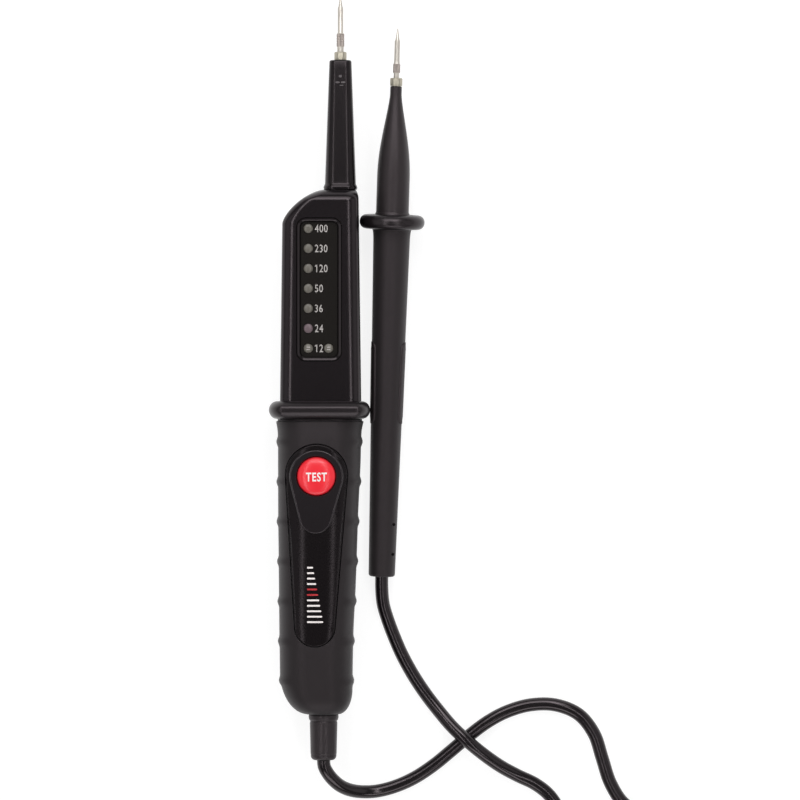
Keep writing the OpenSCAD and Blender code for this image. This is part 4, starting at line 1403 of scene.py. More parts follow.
@dataclass
class DisplayHousing:
    """The two shells, the probe sleeve, the window and what shows in it."""

    finishes: Finishes
    wall: float = 2.0
    groove: Point = (PARTING_Z, 0.34, 0.22)
    window_x: float = -0.1
    window_w: float = 16.2
    window_len: float = 51.4
    window_start: float = 17.5
    window_r: float = 3.4
    frame_wall: float = 1.5
    frame_lift: float = 0.3
    panel_deep: float = 1.2
    panel_t: float = 1.4
    ledge_t: float = 0.8
    ledge_w: float = 1.0
    ledge_end: float = 0.4
    shank_hole_r: float = 1.7
    lamp_x: float = -3.98
    lamp_side: float = 7.3
    lamp_pitch: float = 7.16
    lamp_count: int = 7
    lamp_r: float = 1.65
    figure_x: float = -1.6
    sleeve_len: float = 46.6
    sleeve_tip_w: float = 7.9
    sleeve_root_w: float = 11.3
    sleeve_root_d: float = 13.4
    sleeve_share: float = 0.66
    sleeve_power: float = 2.3
    boss_places: Table = ((-2.6, 71.4), (-6.4, 9.4), (7.2, 9.4))

    @property
    def window_y(self) -> float:
        """Middle of the window."""
        return self.window_start + self.window_len / 2

    @property
    def panel_front(self) -> float:
        """Height of the panel's face."""
        return HOUSING.front - self.panel_deep

    @property
    def lamp_low_y(self) -> float:
        """Place of the lowest lamp."""
        return self.window_start + 4.6

    def build(self) -> None:
        """Builds and enters every piece."""
        self.shell("housing_front", True)
        self.shell("housing_rear", False)
        self.sleeve()
        self.window()
        self.lamps()
        self.figures()
        self.screws()

    def whole(self) -> Piece:
        """The closed outer form of both shells, core included.

        Returns:
            The form as one closed mesh.
        """
        rings = [s.ring(groove=self.groove) for s in HOUSING.sections()]
        rings.append(HOUSING.section(0).at(NECK_Y).ring(groove=self.groove))
        rings += [s.ring(groove=self.groove) for s in GRIP.core(0)]
        return ring_surface("shell", rings)

    def hollow(self) -> Piece:
        """The hollow inside both shells.

        Returns:
            The hollow as a tool.
        """
        d = self.wall
        rings = []
        for u, _ in quarter(12):
            y = HOUSING.length - d - (HOUSING.shoulder_len - d) * (1 - u)
            full = HOUSING.length - HOUSING.shoulder_len * (1 - u)
            rings.append(HOUSING.section(full).inset(d).at(y).ring())
        rings.append(HOUSING.section(0).inset(d).ring())
        rings += [s.ring() for s in GRIP.core(d)]
        return ring_surface("tool", rings)

    def shell(self, name: str, is_front: bool) -> None:
        """One half of the housing.

        Args:
            name: Name of the new piece.
            is_front: Whether it is the front half.
        """
        piece = self.whole()
        piece.name = name
        far, gap = 400.0, FIT_GAP / 2
        tools = [self.hollow(), relief_hole(),
                 bar_along(Axis.Y, (PIN_X, HOUSING.length - 3, PIN_Z), self.shank_hole_r, 6)]
        if is_front:
            window = prism(rounded_outline(
                self.window_w + 2 * FIT_GAP, self.window_len + 2 * FIT_GAP, self.window_r + FIT_GAP,
                x=self.window_x, y=self.window_y), low=18, high=30)
            tools += [box_tool((-far, -far, -far), (far, far, PARTING_Z + gap)), window,
                      bar_along(Axis.Z, (BUTTON_X, BUTTON_Y, PARTING_Z), BUTTON_HOLE_R, 26)]
        else:
            tools.append(box_tool((-far, -far, PARTING_Z - gap), (far, far, far)))
        carve(piece, tools)
        self.bosses(piece, is_front)
        finish(piece, self.finishes.housing, Body.TESTER, Slot.HOUSING,
               "front_shell" if is_front else "rear_shell")

    def bosses(self, piece: Piece, is_front: bool) -> None:
        """Adds the screw posts inside one half and drills them.

        Args:
            piece: The half.
            is_front: Whether it is the front half.
        """
        if is_front:
            steps = ((12.9, 2.2, 22.8 - 12.9, True), (11, 1.3, 9.3, False))
        else:
            steps = ((3.2, 2.8, 11.1 - 3.2, True), (-1, 1.4, 14, False), (-1, 2.7, 5.4, False))
        for low, radius, length, adds in steps:
            bars = [bar_along(Axis.Z, (x, y, low), radius, length) for x, y in self.boss_places]
            carve(piece, bars, adds)

    def sleeve_section(self, y: float, grow: float) -> Section:
        """The sleeve's section at a place.

        Args:
            y: The place.
            grow: Added on every side.

        Returns:
            The section.
        """
        u = (y - HOUSING.length) / self.sleeve_len
        half_w = mix(self.sleeve_root_w, self.sleeve_tip_w, u) / 2 + grow
        half_d = mix(self.sleeve_root_d, self.sleeve_tip_w, u) / 2 + grow
        corner = half_d * self.sleeve_share
        return Section(y, PIN_X - half_w, PIN_X + half_w, PIN_Z - half_d, PIN_Z + half_d,
                       half_w * self.sleeve_share, corner, corner, self.sleeve_power)

    def sleeve(self) -> None:
        """The tapered sleeve of the fixed probe with the ring at its root."""
        tip = HOUSING.length + self.sleeve_len
        turn = 0.7
        sections = [self.sleeve_section(tip - turn * (1 - c), -turn * (1 - s))
                    for c, s in quarter(8)]
        root = HOUSING.length
        body_steps, ring_steps = 20, 8
        ring_top, ring_len, ring_rise = 2.3, 1.5, 0.45
        sections += [self.sleeve_section(mix(tip - turn, root + ring_top + 0.1, i / body_steps), 0)
                     for i in range(1, body_steps + 1)]
        sections += [self.sleeve_section(root + ring_top - ring_len * i / ring_steps,
                                         ring_rise * math.sin(math.pi * i / ring_steps / 2) ** 2)
                     for i in range(1, ring_steps + 1)]
        sections += [self.sleeve_section(root + 0.5, 0.4), self.sleeve_section(root + FIT_GAP, 0.3)]
        piece = ring_surface("probe_sleeve_fine", [s.ring(14, 6) for s in sections])
        carve(piece, [bar_along(Axis.Y, (PIN_X, root - 1, PIN_Z), self.shank_hole_r,
                                self.sleeve_len + 2)])
        finish(piece, self.finishes.sleeve, Body.TESTER, Slot.HOUSING, "probe_sleeve")
        marks = []
        for x, y, w, h in ((0, 119.9, 1.1, 0.9), (-1.0, 117.7, 1.5, 0.6), (1.0, 117.7, 1.5, 0.6),
                           (0.4, 116.6, 1.4, 0.3)):
            u = (y - root) / self.sleeve_len
            z = PIN_Z + mix(self.sleeve_root_d, self.sleeve_tip_w, u) / 2
            marks.append(inked(rounded_outline(w, h, min(w, h) * 0.45, 5, PIN_X + x, y), z))
        marks_piece = joined("sleeve_marks", marks)
        finish(marks_piece, self.finishes.sleeve_print, Body.TESTER, Slot.HOUSING)

    def window(self) -> None:
        """The frame round the window, with sloped inner lips."""
        front = HOUSING.front + self.frame_lift
        panel_back = self.panel_front - self.panel_t
        low = panel_back - self.ledge_t

        def ring(shrink: float, z: float, ends: float | None = None) -> Ring:
            """One ring of the frame at a height, drawn in from its outline.

            Args:
                shrink: How far its sides are drawn in.
                z: Its height.
                ends: How far its ends are, or None for as far as its sides.

            Returns:
                The ring.
            """
            w = self.window_w - 2 * shrink
            h = self.window_len - 2 * (shrink if ends is None else ends)
            return [(x, y, z) for x, y in rounded_outline(
                w, h, max(self.window_r - shrink, 0.4), x=self.window_x, y=self.window_y)]

        rings = [ring(0, low)] + [ring(shrink, front - drop) for shrink, drop in (
            (0, 0.56), (0.05, 0.5), (0.86, 0.05), (0.95, 0.0), (1.04, 0.05), (1.12, 0.17))]
        rings += [ring(self.frame_wall - 0.1, self.panel_front + 0.2),
                  ring(self.frame_wall, self.panel_front), ring(self.frame_wall, panel_back),
                  ring(self.frame_wall + self.ledge_w, panel_back, self.frame_wall + self.ledge_end),
                  ring(self.frame_wall + self.ledge_w, low, self.frame_wall + self.ledge_end)]
        piece = ring_surface("window_frame_fine", rings, wrap=True)
        finish(piece, self.finishes.frame, Body.TESTER, Slot.HOUSING, "window_frame")
        dress_node("display_panel", self.finishes.panel)

    def lamp_spots(self) -> Outline:
        """Places of the lamps, the odd one last.

        Returns:
            Places in X and Y.
        """
        spots = [(self.lamp_x, self.lamp_low_y + self.lamp_pitch * i)
                 for i in range(self.lamp_count)]
        return spots + [(self.lamp_x + self.lamp_side, self.lamp_low_y)]

    def lamps(self) -> None:
        """The lamps, copied onto their places, with one pink lens."""
        r, rim_r, rim_t, dome = self.lamp_r, self.lamp_r + 0.35, 0.8, 0.5
        base, leg_len, leg_out = -4.4, 6.0, 1.27
        profile = [(0, base), (rim_r, base), (rim_r, base + rim_t), (r, base + rim_t), (r, 0)]
        profile += [(r * c, dome * s) for c, s in quarter(10, 1, 9)] + [(0, dome)]
        lens = lathe("lamp_lens", profile, upright(0, 0, 0), 40)
        legs = [bar_along(Axis.Z, (side * leg_out, 0, base - leg_len), 0.25, leg_len + 0.02, 12)
                for side in (-1, 1)]
        one = joined("one_lamp", [lens, *legs])
        dress(one, self.finishes.lamp)
        tree, names = copies_tree()
        spots = self.lamp_spots()
        pink = spots[1]
        for name, chosen, material, nodes in (
                ("indicator_lamps", [s for s in spots if s != pink], self.finishes.lamp, ("lamps",)),
                ("indicator_lamp_pink", [pink], self.finishes.lamp_pink, ())):
            piece = points_piece(name, [(x, y, self.panel_front) for x, y in chosen])
            run_tree(piece, tree, names, {"Piece": one, "Material": material})
            enter(piece, Body.TESTER, Slot.LAMP, *nodes)
        remove(one)

    def figures(self) -> None:
        """The plain numbers beside the lamps, and the polarity marks on the lowest two."""
        tall, thick, drop = 2.75, 0.06, 1.37
        flag = [(0.3, tall), (0.02, tall), (-0.5, 2.3), (-0.5, 1.92), (0.02, 2.32)]
        pieces = []
        for i, text in enumerate(("12", "24", "36", "50", "120", "230", "400")):
            word = lettering("figure", text, tall, None, thick, bold=0.006, condense=0.74,
                             space=1.13)
            x, y = self.figure_x, self.lamp_low_y + self.lamp_pitch * i
            if text[0] == "1":
                # A leading 1 has a longer flag than the font gives it
                x += 0.5
                word = joined("figure", [word, prism(flag, 0, thick)])
            pieces.append(lay(word, lambda px, py, pz, x=x, y=y: (
                px + x, py + y - drop, pz + self.panel_front)))
        figures = joined("scale_figures", pieces)
        finish(figures, self.finishes.ink_grey, Body.TESTER, Slot.PANEL)
        bar_w, bar_h, bar_r, apart = 1.25, 0.34, 0.15, 0.42
        low, high = self.panel_front + 0.2, self.panel_front + 0.53
        bars = []
        for x in (self.lamp_x, self.lamp_x + self.lamp_side):
            for y in (self.lamp_low_y - apart, self.lamp_low_y + apart):
                bars.append(prism(rounded_outline(bar_w, bar_h, bar_r, 4, x, y), low, high))
        marks = joined("lamp_marks", bars)
        finish(marks, self.finishes.ink_grey, Body.TESTER, Slot.PANEL)

    def screws(self) -> None:
        """The cross-headed screws in the back."""
        head, head_t, thread, length, turn = 2.6, 1.6, 1.2, 12.4, 0.5
        long, wide, deep = 1.6, 0.35, 0.8
        face = HOUSING.back + 0.6
        profile = [(0, face + length), (thread * 0.6, face + length), (thread, face + length - 0.8),
                   (thread, face + head_t), (head, face + head_t), (head, face + turn)]
        profile += [(head - turn * (1 - c), face + turn - turn * s) for c, s in quarter(5, 1)]
        profile += [(0, face)]
        screw = lathe("one_screw", profile, upright(0, 0, 0), 48)
        carve(screw, [box_tool((-x, -y, face - 1), (x, y, face + deep))
                      for x, y in ((long, wide), (wide, long))])
        dress(screw, self.finishes.steel)
        tree, names = copies_tree()
        piece = points_piece("back_screws", [(x, y, 0) for x, y in self.boss_places])
        run_tree(piece, tree, names, {"Piece": screw, "Material": self.finishes.steel})
        remove(screw)
        enter(piece, Body.TESTER, Slot.NICKEL, "housing_screws")


@dataclass
class FingerGuard:
    """The rounded flange between the housing and the grip, in millimetres."""

    finishes: Finishes
    width: float = 36.3
    depth: float = 29.6
    thick: float = 6.4
    sink: float = 1.0
    rim: float = 3.0
    power: float = 2.0
    across_share: float = 0.27
    back_share: float = 0.46
    front_share: float = 0.3
    face_drops: Table = ((-1, 1), (-0.92, 0.68), (-0.8, 0.46), (-0.65, 0.31), (-0.2, 0.04),
                         (0.1, 0), (0.2, 0.01), (0.35, 0.06), (0.6, 0.27), (0.8, 0.52),
                         (0.92, 0.74), (1, 1))

    def section(self, u: float) -> Section:
        """The section at share u of half the thickness.

        Args:
            u: The share, from -1 at the grip to 1 at the housing.

        Returns:
            The section.
        """
        pull = self.rim * edge_rise(abs(u), self.power)
        back = pull - self.sink
        front = self.depth - self.rim * look_up(u, self.face_drops)
        half = self.width / 2 - pull
        return Section(self.thick / 2 * u, -half, half, back, front, half * self.across_share,
                       (front - back) * self.back_share, (front - back) * self.front_share, 2.0)

    def build(self) -> None:
        """Builds and enters the flange."""
        steps = 28
        sections = [self.section(math.sin(math.pi / 2 * (1 - 2 * i / steps)))
                    for i in range(steps + 1)]
        piece = ring_surface("finger_guard_fine", [s.ring(22, 8) for s in sections])
        bore = HOUSING.section(0).inset(-FIT_GAP)
        carve(piece, [ring_surface("tool", [bore.at(y).ring() for y in (self.thick, -self.thick)])])
        finish(piece, self.finishes.guard, Body.TESTER, Slot.RUBBER, "finger_guard")


@dataclass
class Grip:
    """The ribbed rubber sleeve, the gloss inlay, the island and the push button."""

    finishes: Finishes
    wall: float = 2.0
    seat_gap: float = 0.3
    neck_in: float = 0.65
    neck_top: float = -3.3
    rib_h: float = 0.6
    rib_pitch: float = 14.33
    rib_first: float = 11.4
    rib_len: float = 4.2
    rib_count: int = 7
    button_r: float = 6.85
    inlay_top: Point = (-1.05, -23.4, 11.1)
    inlay_low: Point = (-1.65, -77.6, 7.2)
    inlay_lift: float = 0.25
    island_top: Point = (-1.05, -23.9, 9.7)
    island_low: Point = (-1.35, -38.4, 5.9)
    island_z: float = 27.7
    island_foot: float = 26.8
    cap_rise: float = 1.0
    dome_rise: float = 1.9
    dome_power: float = 2.3
    rib_fade_from: float = 0.62
    rib_fade_len: float = 0.3
    bar_count: int = 11
    bar_left: float = -4.4
    bar_y: float = -56.4
    bar_pitch: float = 1.95
    bar_w: float = 2.2
    bar_grow: float = 0.36
    bar_h: float = 0.62
    red_bars: tuple[int, ...] = (4, 5)

    @property
    def cap_z(self) -> float:
        """Height of the button's top."""
        return self.island_z + self.cap_rise

    def build(self) -> None:
        """Builds and enters every piece."""
        self.sleeve()
        self.inlay()
        self.island()
        self.button()
        self.level_bars()

    def sleeve(self) -> None:
        """The rubber sleeve with ribs round its sides and back."""
        top = GRIP.section(-GRIP.start)
        neck = top.inset(self.neck_in)
        sections = [neck.at(self.neck_top), neck.at(-3.95), top.inset(0.25).at(-4.0),
                    GRIP.section(-4.2)] + GRIP.sections()[1:]
        piece = ring_surface("grip_sleeve_fine", [s.ring(18, 12) for s in sections])
        share = piece.data.attributes.new("rib_share", "FLOAT", "POINT")
        values = []
        for v in piece.data.vertices:
            x, y, z = (c / MM for c in v.co)
            section = GRIP.nearest(y)
            middle = (section.left + section.right) / 2
            half = (section.right - section.left) / 2
            off = abs(x - middle) / half
            is_front = z > (section.front + section.back) / 2
            fade = clamp01((off - self.rib_fade_from) / self.rib_fade_len) if is_front else 1.0
            on_table = z < GRIP.back + 0.05
            values.append(0.0 if on_table else fade * fade * (3 - 2 * fade))
        share.data.foreach_set("value", values)
        tree, names = rib_tree()
        run_tree(piece, tree, names, {
            "Height": self.rib_h * MM, "Pitch": self.rib_pitch * MM, "First": self.rib_first * MM,
            "Length": self.rib_len * MM, "Last": float(self.rib_count - 1),
            "Material": self.finishes.rubber})
        shell = HOUSING.section(0).inset(-FIT_GAP)
        bore = [shell.at(1.0), shell.at(NECK_Y)] + [s.inset(-FIT_GAP) for s in GRIP.core(0)]
        carve(piece, [ring_surface("tool", [s.ring() for s in bore]),
                      prism(two_circles(self.inlay_top, self.inlay_low, 0.28), PARTING_Z, 40),
                      relief_hole()])
        finish(piece, self.finishes.rubber, Body.TESTER, Slot.RUBBER, "grip_sleeve")

    def draped(self, name: str, top: Point, low: Point, height: Callable[[float, float], float],
               deep: float, edge: float, across_steps: int) -> Piece:
        """A plate with a rounded edge that follows a height, round the button's hole.

        Args:
            name: Name of the new object.
            top: Centre and radius of the upper circle of its outline.
            low: Centre and radius of the lower circle.
            height: Height of its face over a point.
            deep: Height of its back below the face.
            edge: Radius of the rounded edge.
            across_steps: Rings from edge to hole.

        Returns:
            The mesh object.
        """
        rim = two_circles(top, low)

        def ring(shrink: float, drop: float) -> Ring:
            """The outline drawn in by shrink and lowered by drop."""
            flat = two_circles(top, low, -shrink)
            return [(x, y, height(*outer) - drop) for (x, y), outer in zip(flat, rim)]

        rings = [ring(0, deep)]
        rings += [ring(edge * (1 - c), edge * (1 - s)) for c, s in quarter(6)]
        start = two_circles(top, low, -edge)
        turns = [math.atan2(y - BUTTON_Y, x - BUTTON_X) for x, y in start]

        def circle(r: float) -> Outline:
            """A circle round the button, with a point towards each point of the outline."""
            return [(BUTTON_X + r * math.cos(t), BUTTON_Y + r * math.sin(t)) for t in turns]

        lip = 0.25
        for u in (i / across_steps for i in range(1, across_steps + 1)):
            flat = [(mix(a[0], b[0], u), mix(a[1], b[1], u))
                    for a, b in zip(start, circle(BUTTON_HOLE_R + lip))]
            rings.append([(x, y, height(x, y)) for x, y in flat])
        rings += [[(x, y, height(x, y) - drop) for x, y in circle(BUTTON_HOLE_R)]
                  for drop in (lip, deep)]
        return ring_surface(name, rings, wrap=True)

    def inlay_height(self, x: float, y: float) -> float:
        """Height of the inlay's face."""
        return GRIP.nearest(y).front_at(x) + self.inlay_lift

    def inlay(self) -> None:
        """The mirror-gloss inlay that follows the front of the grip."""
        piece = self.draped("grip_inlay_fine", self.inlay_top, self.inlay_low,
                            self.inlay_height, deep=2.3, edge=0.5, across_steps=30)
        finish(piece, self.finishes.inlay, Body.TESTER, Slot.HOUSING, "grip_inlay")

    def island(self) -> None:
        """The raised island round the button."""
        fall, fall_from, fall_len = 0.25, BUTTON_Y - 9, 12

        def height(x: float, y: float) -> float:
            """Height of the island's face, a little lower at its lower end."""
            run = clamp01((fall_from - y) / fall_len)
            return self.island_z - fall * run * run

        piece = self.draped("button_island_fine", self.island_top, self.island_low, height,
                            deep=self.island_z - self.island_foot, edge=0.6, across_steps=10)
        finish(piece, self.finishes.island, Body.TESTER, Slot.HOUSING, "button_island")

    def dome(self, r: float) -> float:
        """Height of the button's face at a distance from its middle."""
        return self.cap_z - self.dome_rise * edge_rise(r / self.button_r, self.dome_power)

    def button(self) -> None:
        """The domed push button and the word on it."""
        low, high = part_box("test_button")
        bottom = low.z / MM
        flange_r = (high.x - low.x) / MM / 2
        hollow = GRIP.section(BUTTON_Y).inset(GRIP.rubber + self.wall)
        flange_top = min(hollow.front_at(BUTTON_X - flange_r),
                         hollow.front_at(BUTTON_X + flange_r)) - self.seat_gap
        steps = 20
        stem_r, flange_low = 2.2, flange_top - 1.2
        profile = [(0, bottom), (stem_r, bottom), (stem_r, flange_low), (flange_r, flange_low),
                   (flange_r, flange_top), (self.button_r, flange_top)]
        power = 2 / self.dome_power
        profile += [(self.button_r * c ** power,
                     self.cap_z - self.dome_rise + self.dome_rise * s ** power)
                    for c, s in quarter(steps, 0, steps - 1)] + [(0, self.cap_z)]
        piece = lathe("test_button_fine", profile, upright(BUTTON_X, BUTTON_Y, 0), 128)
        finish(piece, self.finishes.button, Body.BUTTON, Slot.BUTTON, "test_button")
        word = lettering("button_word", "TEST", height=3.25, width=7.5, thick=0.3, bold=0.026,
                         space=1.16)
        left, low, sink = 3.7, 1.85, 0.25

        def onto(px: float, py: float, pz: float) -> Point:
            """Puts a point of the word on the dome.

            Args:
                px: Place across the word.
                py: Place up the word.
                pz: Height in the ink.

            Returns:
                Its place in the tester's frame.
            """
            x = BUTTON_X + px - left
            y = BUTTON_Y + py - low
            r = math.hypot(x - BUTTON_X, y - BUTTON_Y)
            return (x, y, self.dome(r) - sink + pz)

        lay(word, onto)
        finish(word, self.finishes.ink_white, Body.BUTTON, Slot.BUTTON)

    def level_bars(self) -> None:
        """A plain scale of bars where the real product has its print."""
        white, red = [], []
        for i in range(self.bar_count):
            w = self.bar_w + self.bar_grow * i
            x, y = self.bar_left + w / 2, self.bar_y - self.bar_pitch * i
            bar = inked(rounded_outline(w, self.bar_h, 0.28, 5, x, y), self.inlay_height(x, y))
            (red if i in self.red_bars else white).append(bar)
        for name, bars, material in (("level_bars_white", white, self.finishes.ink_white),
                                     ("level_bars_red", red, self.finishes.ink_red)):
            piece = joined(name, bars)
            finish(piece, material, Body.TESTER, Slot.HOUSING)


@dataclass
class MainPin:
    """The fixed pin and its collar."""

    finishes: Finishes
    collar_y: float = 125.9

    def build(self) -> None:
        """Builds and enters both pieces."""
        probe = Probe(self.finishes, bare=20.4, neck_r=1.2, seat_r=1.4, seat_len=4.7, taper=0.5,
                      shank=56.6)
        pin = probe.pin("probe_pin_fine", along_y(PIN_X, self.collar_y + probe.collar_len, PIN_Z))
        enter(pin, Body.TESTER, Slot.NICKEL, "probe_pin")
        collar = probe.collar("pin_collar_fine", along_y(PIN_X, self.collar_y, PIN_Z))
        enter(collar, Body.TESTER, Slot.BRASS, "pin_collar")


@dataclass
class StrainRelief:
    """The soft sleeve where the lead leaves the grip, in millimetres."""

    finishes: Finishes
    length: float = 16.6
    bore_r: float = 2.5

    def build(self) -> None:
        """Builds and enters the sleeve: flange, collar, groove, taper and rounded end."""
        inside, flange_t, flange_r, waist_r = 4.5, 1.2, 5.2, 4.2
        turn, end_r = 1.7, 4.64
        profile = [(self.bore_r, -inside - flange_t), (flange_r, -inside - flange_t),
                   (flange_r, -inside), (waist_r, -inside), (waist_r, 0.1), (5.0, 0.1),
                   (5.3, 0.25), (5.4, 0.6), (5.38, 1.2), (5.25, 1.8), (5.05, 2.2), (4.85, 2.35),
                   (4.78, 2.5), (4.82, 2.65), (4.92, 2.8), (4.96, 3.2), (4.9, 6), (4.8, 10),
                   (4.72, self.length - 2.7), (4.7, self.length - 2.4), (4.6, self.length - 2.25),
                   (end_r, self.length - 2.1)]
        profile += [(end_r - turn * (1 - c), self.length - turn + turn * s)
                    for c, s in quarter(8, 1)]
        profile += [(self.bore_r + 0.15, self.length), (self.bore_r, self.length - 0.2)]
        piece = lathe("strain_relief_fine", profile,
                      lambda p: (RELIEF_X + p[0], GRIP.end - p[2], RELIEF_Z + p[1]), 96, wrap=True)
        finish(piece, self.finishes.relief, Body.TESTER, Slot.LEAD, "strain_relief")


@dataclass
class SecondProbe:
    """The second probe: nose, guard disc, handle, pads, pin and collar, in millimetres."""

    finishes: Finishes
    at: Point = (26.05, 67.7, 0.0)
    yaw: float = 1.69
    disc_d: float = 23.4
    disc_t: float = 5.2
    handle_len: float = 128.0
    end_r: float = 4.75
    handle_r: float = 6.6
    flare_r: float = 7.2
    flare_len: float = 4.5
    nose_len: float = 48.8
    nose_r: float = 5.9
    nose_tip_r: float = 2.1
    nose_tip_len: float = 3.0
    nose_taper_len: float = 30.0
    nose_power: float = 1.3
    rod_hole_r: float = 1.7
    pad_h: float = 0.45
    pad_start: float = 43.2
    pad_len: float = 29.5
    pad_half_w: float = 4.4
    pad_corner: float = 2.6
    eye_r: float = 0.56
    eyes: tuple[Point, ...] = ((26.66, -41.3, 7.5), (26.26, -52.06, 6.9))

    def __post_init__(self) -> None:
        """Works out how the probe lies on its disc and its lower end."""
        pitch = math.asin((self.disc_d / 2 - self.end_r) / self.handle_len)
        z = self.disc_d / 2 * math.cos(pitch) + self.disc_t / 2 * math.sin(pitch)
        turn = Matrix.Rotation(math.radians(-self.yaw), 4, "Z") @ Matrix.Rotation(
            pitch, 4, "X") @ Matrix.Rotation(math.radians(-90), 4, "X")
        self.matrix = Matrix.Translation((self.at[0], self.at[1], z)) @ turn

    def place(self, p: Point) -> Point:
        """Moves a point from the probe's own frame, tip along +Z, to the tester's."""
        return tuple(self.matrix @ Vector(p))

    def build(self) -> None:
        """Builds and enters every piece."""
        self.nose()
        self.disc()
        self.handle()
        self.pads()
        probe = Probe(self.finishes, bare=17.8, neck_r=1.0, seat_r=1.3, seat_len=3.2, taper=1.5,
                      shank=27.4)
        front = self.nose_len + FIT_GAP
        pin = probe.pin("second_pin_fine", lambda p: self.place(
            (p[0], p[1], p[2] + front + probe.collar_len)))
        enter(pin, Body.PROBE, Slot.NICKEL, "second_pin")
        collar = probe.collar("second_pin_collar_fine",
                              lambda p: self.place((p[0], p[1], p[2] + front)))
        enter(collar, Body.PROBE, Slot.BRASS, "second_pin_collar")

    def nose(self) -> None:
        """The tapered nose in front of the disc."""
        start = self.disc_t / 2 + 0.05
        profile = [(self.rod_hole_r, start), (self.nose_r + 0.35, start),
                   (self.nose_r + 0.3, start + 0.3), (self.nose_r + 0.05, start + 0.7),
                   (self.nose_r, start + 1.1)]
        steps = 32
        for u in (1 - i / steps for i in range(steps + 1)):
            share = math.sin(math.pi / 2 * u) ** self.nose_power
            profile.append((mix(self.nose_tip_r, self.nose_r, share),
                            self.nose_len - self.nose_tip_len - self.nose_taper_len * u))
        profile += [(self.nose_tip_r, self.nose_len - 0.25), (self.nose_tip_r - 0.2, self.nose_len),
                    (self.rod_hole_r, self.nose_len)]
        piece = lathe("second_nose_fine", profile, self.place, 96, wrap=True)
        # The nose's colour, lighter than the handle's, is painted light
        finish(piece, self.finishes.nose, Body.PROBE, Slot.HANDLE, "second_nose")

    def disc(self) -> None:
        """The guard disc with a thick rounded rim and a shallow step on its face."""
        half, r = self.disc_t / 2, self.disc_d / 2
        power, steps = 2.1, 14
        profile = [(self.rod_hole_r, -half)]
        profile += [(r - half + half * signed_power(c, 2 / power), half * signed_power(s, 2 / power))
                    for c, s in quarter(steps, -steps)]
        profile += [(r - half - 0.8, half), (r - half - 1.0, half - 0.15),
                    (self.nose_r + 0.5, half - 0.15), (self.nose_r + 0.4, half),
                    (self.rod_hole_r, half)]
        piece = lathe("second_guard_disc_fine", profile, self.place, 144, wrap=True)
        finish(piece, self.finishes.guard, Body.PROBE, Slot.HANDLE, "second_guard_disc")

    def radius_at(self, run: float) -> float:
        """Radius of the handle at a distance behind the disc.

        Args:
            run: The distance.

        Returns:
            The radius.
        """
        if run <= self.flare_len:
            t = math.acos(clamp01(1 - run / self.flare_len))
            return self.handle_r + (self.flare_r - self.handle_r) * (1 - math.sin(t))
        share = (run - self.flare_len) / (self.handle_len - self.disc_t / 2 - self.flare_len)
        return mix(self.handle_r, self.end_r, share)

    def handle(self) -> None:
        """The long tapered handle with its rounded end and the small blind holes in its front."""
        start = -self.disc_t / 2 - 0.05
        run_end = self.handle_len + start
        turn, steps = 0.9, 24
        hollow_r, lead_r, bush_len = 3.55, 2.6, 6
        end = -self.handle_len
        runs = [self.flare_len * (1 - c) for c, _ in quarter(8)]
        runs += [self.flare_len + (run_end - turn - self.flare_len) * i / steps
                 for i in range(1, steps + 1)]
        profile = [(self.rod_hole_r, start)]
        profile += [(self.radius_at(run), start - run) for run in runs]
        profile += [(self.end_r - turn * (1 - c), end + turn * (1 - s)) for c, s in quarter(6, 1)]
        profile += [(hollow_r, end), (hollow_r, end + bush_len), (lead_r, end + bush_len),
                    (lead_r, end / 3), (self.rod_hole_r, end / 3)]
        piece = lathe("second_handle_fine", profile, self.place, 96, wrap=True)
        carve(piece, [bar_along(Axis.Z, spot, self.eye_r, 4, 24) for spot in self.eyes])
        finish(piece, self.finishes.handle, Body.PROBE, Slot.HANDLE, "second_handle")

    def pads(self) -> None:
        """The soft pads on both sides of the handle, each a curved plate."""
        pieces = []
        for side in (1, -1):
            rings = []
            for shrink, lift in ((0, 0.03), (0, self.pad_h * 0.6), (0.12, self.pad_h * 0.9),
                                 (0.32, self.pad_h), (1.4, self.pad_h), (2.8, self.pad_h)):
                ring = []
                for u, v in rounded_outline(
                        self.pad_len - 2 * shrink, 2 * (self.pad_half_w - shrink),
                        max(self.pad_corner - shrink, 0.3), 10):
                    z = -self.pad_start - self.pad_len / 2 + u
                    r = self.radius_at(-z - self.disc_t / 2) + lift
                    angle = v / r
                    ring.append(self.place((side * r * math.cos(angle), r * math.sin(angle), z)))
                rings.append(ring)
            pieces.append(ring_surface("pad", rings))
        piece = joined("second_side_pads_fine", pieces)
        finish(piece, self.finishes.pad, Body.PROBE, Slot.HANDLE, "second_side_pads")


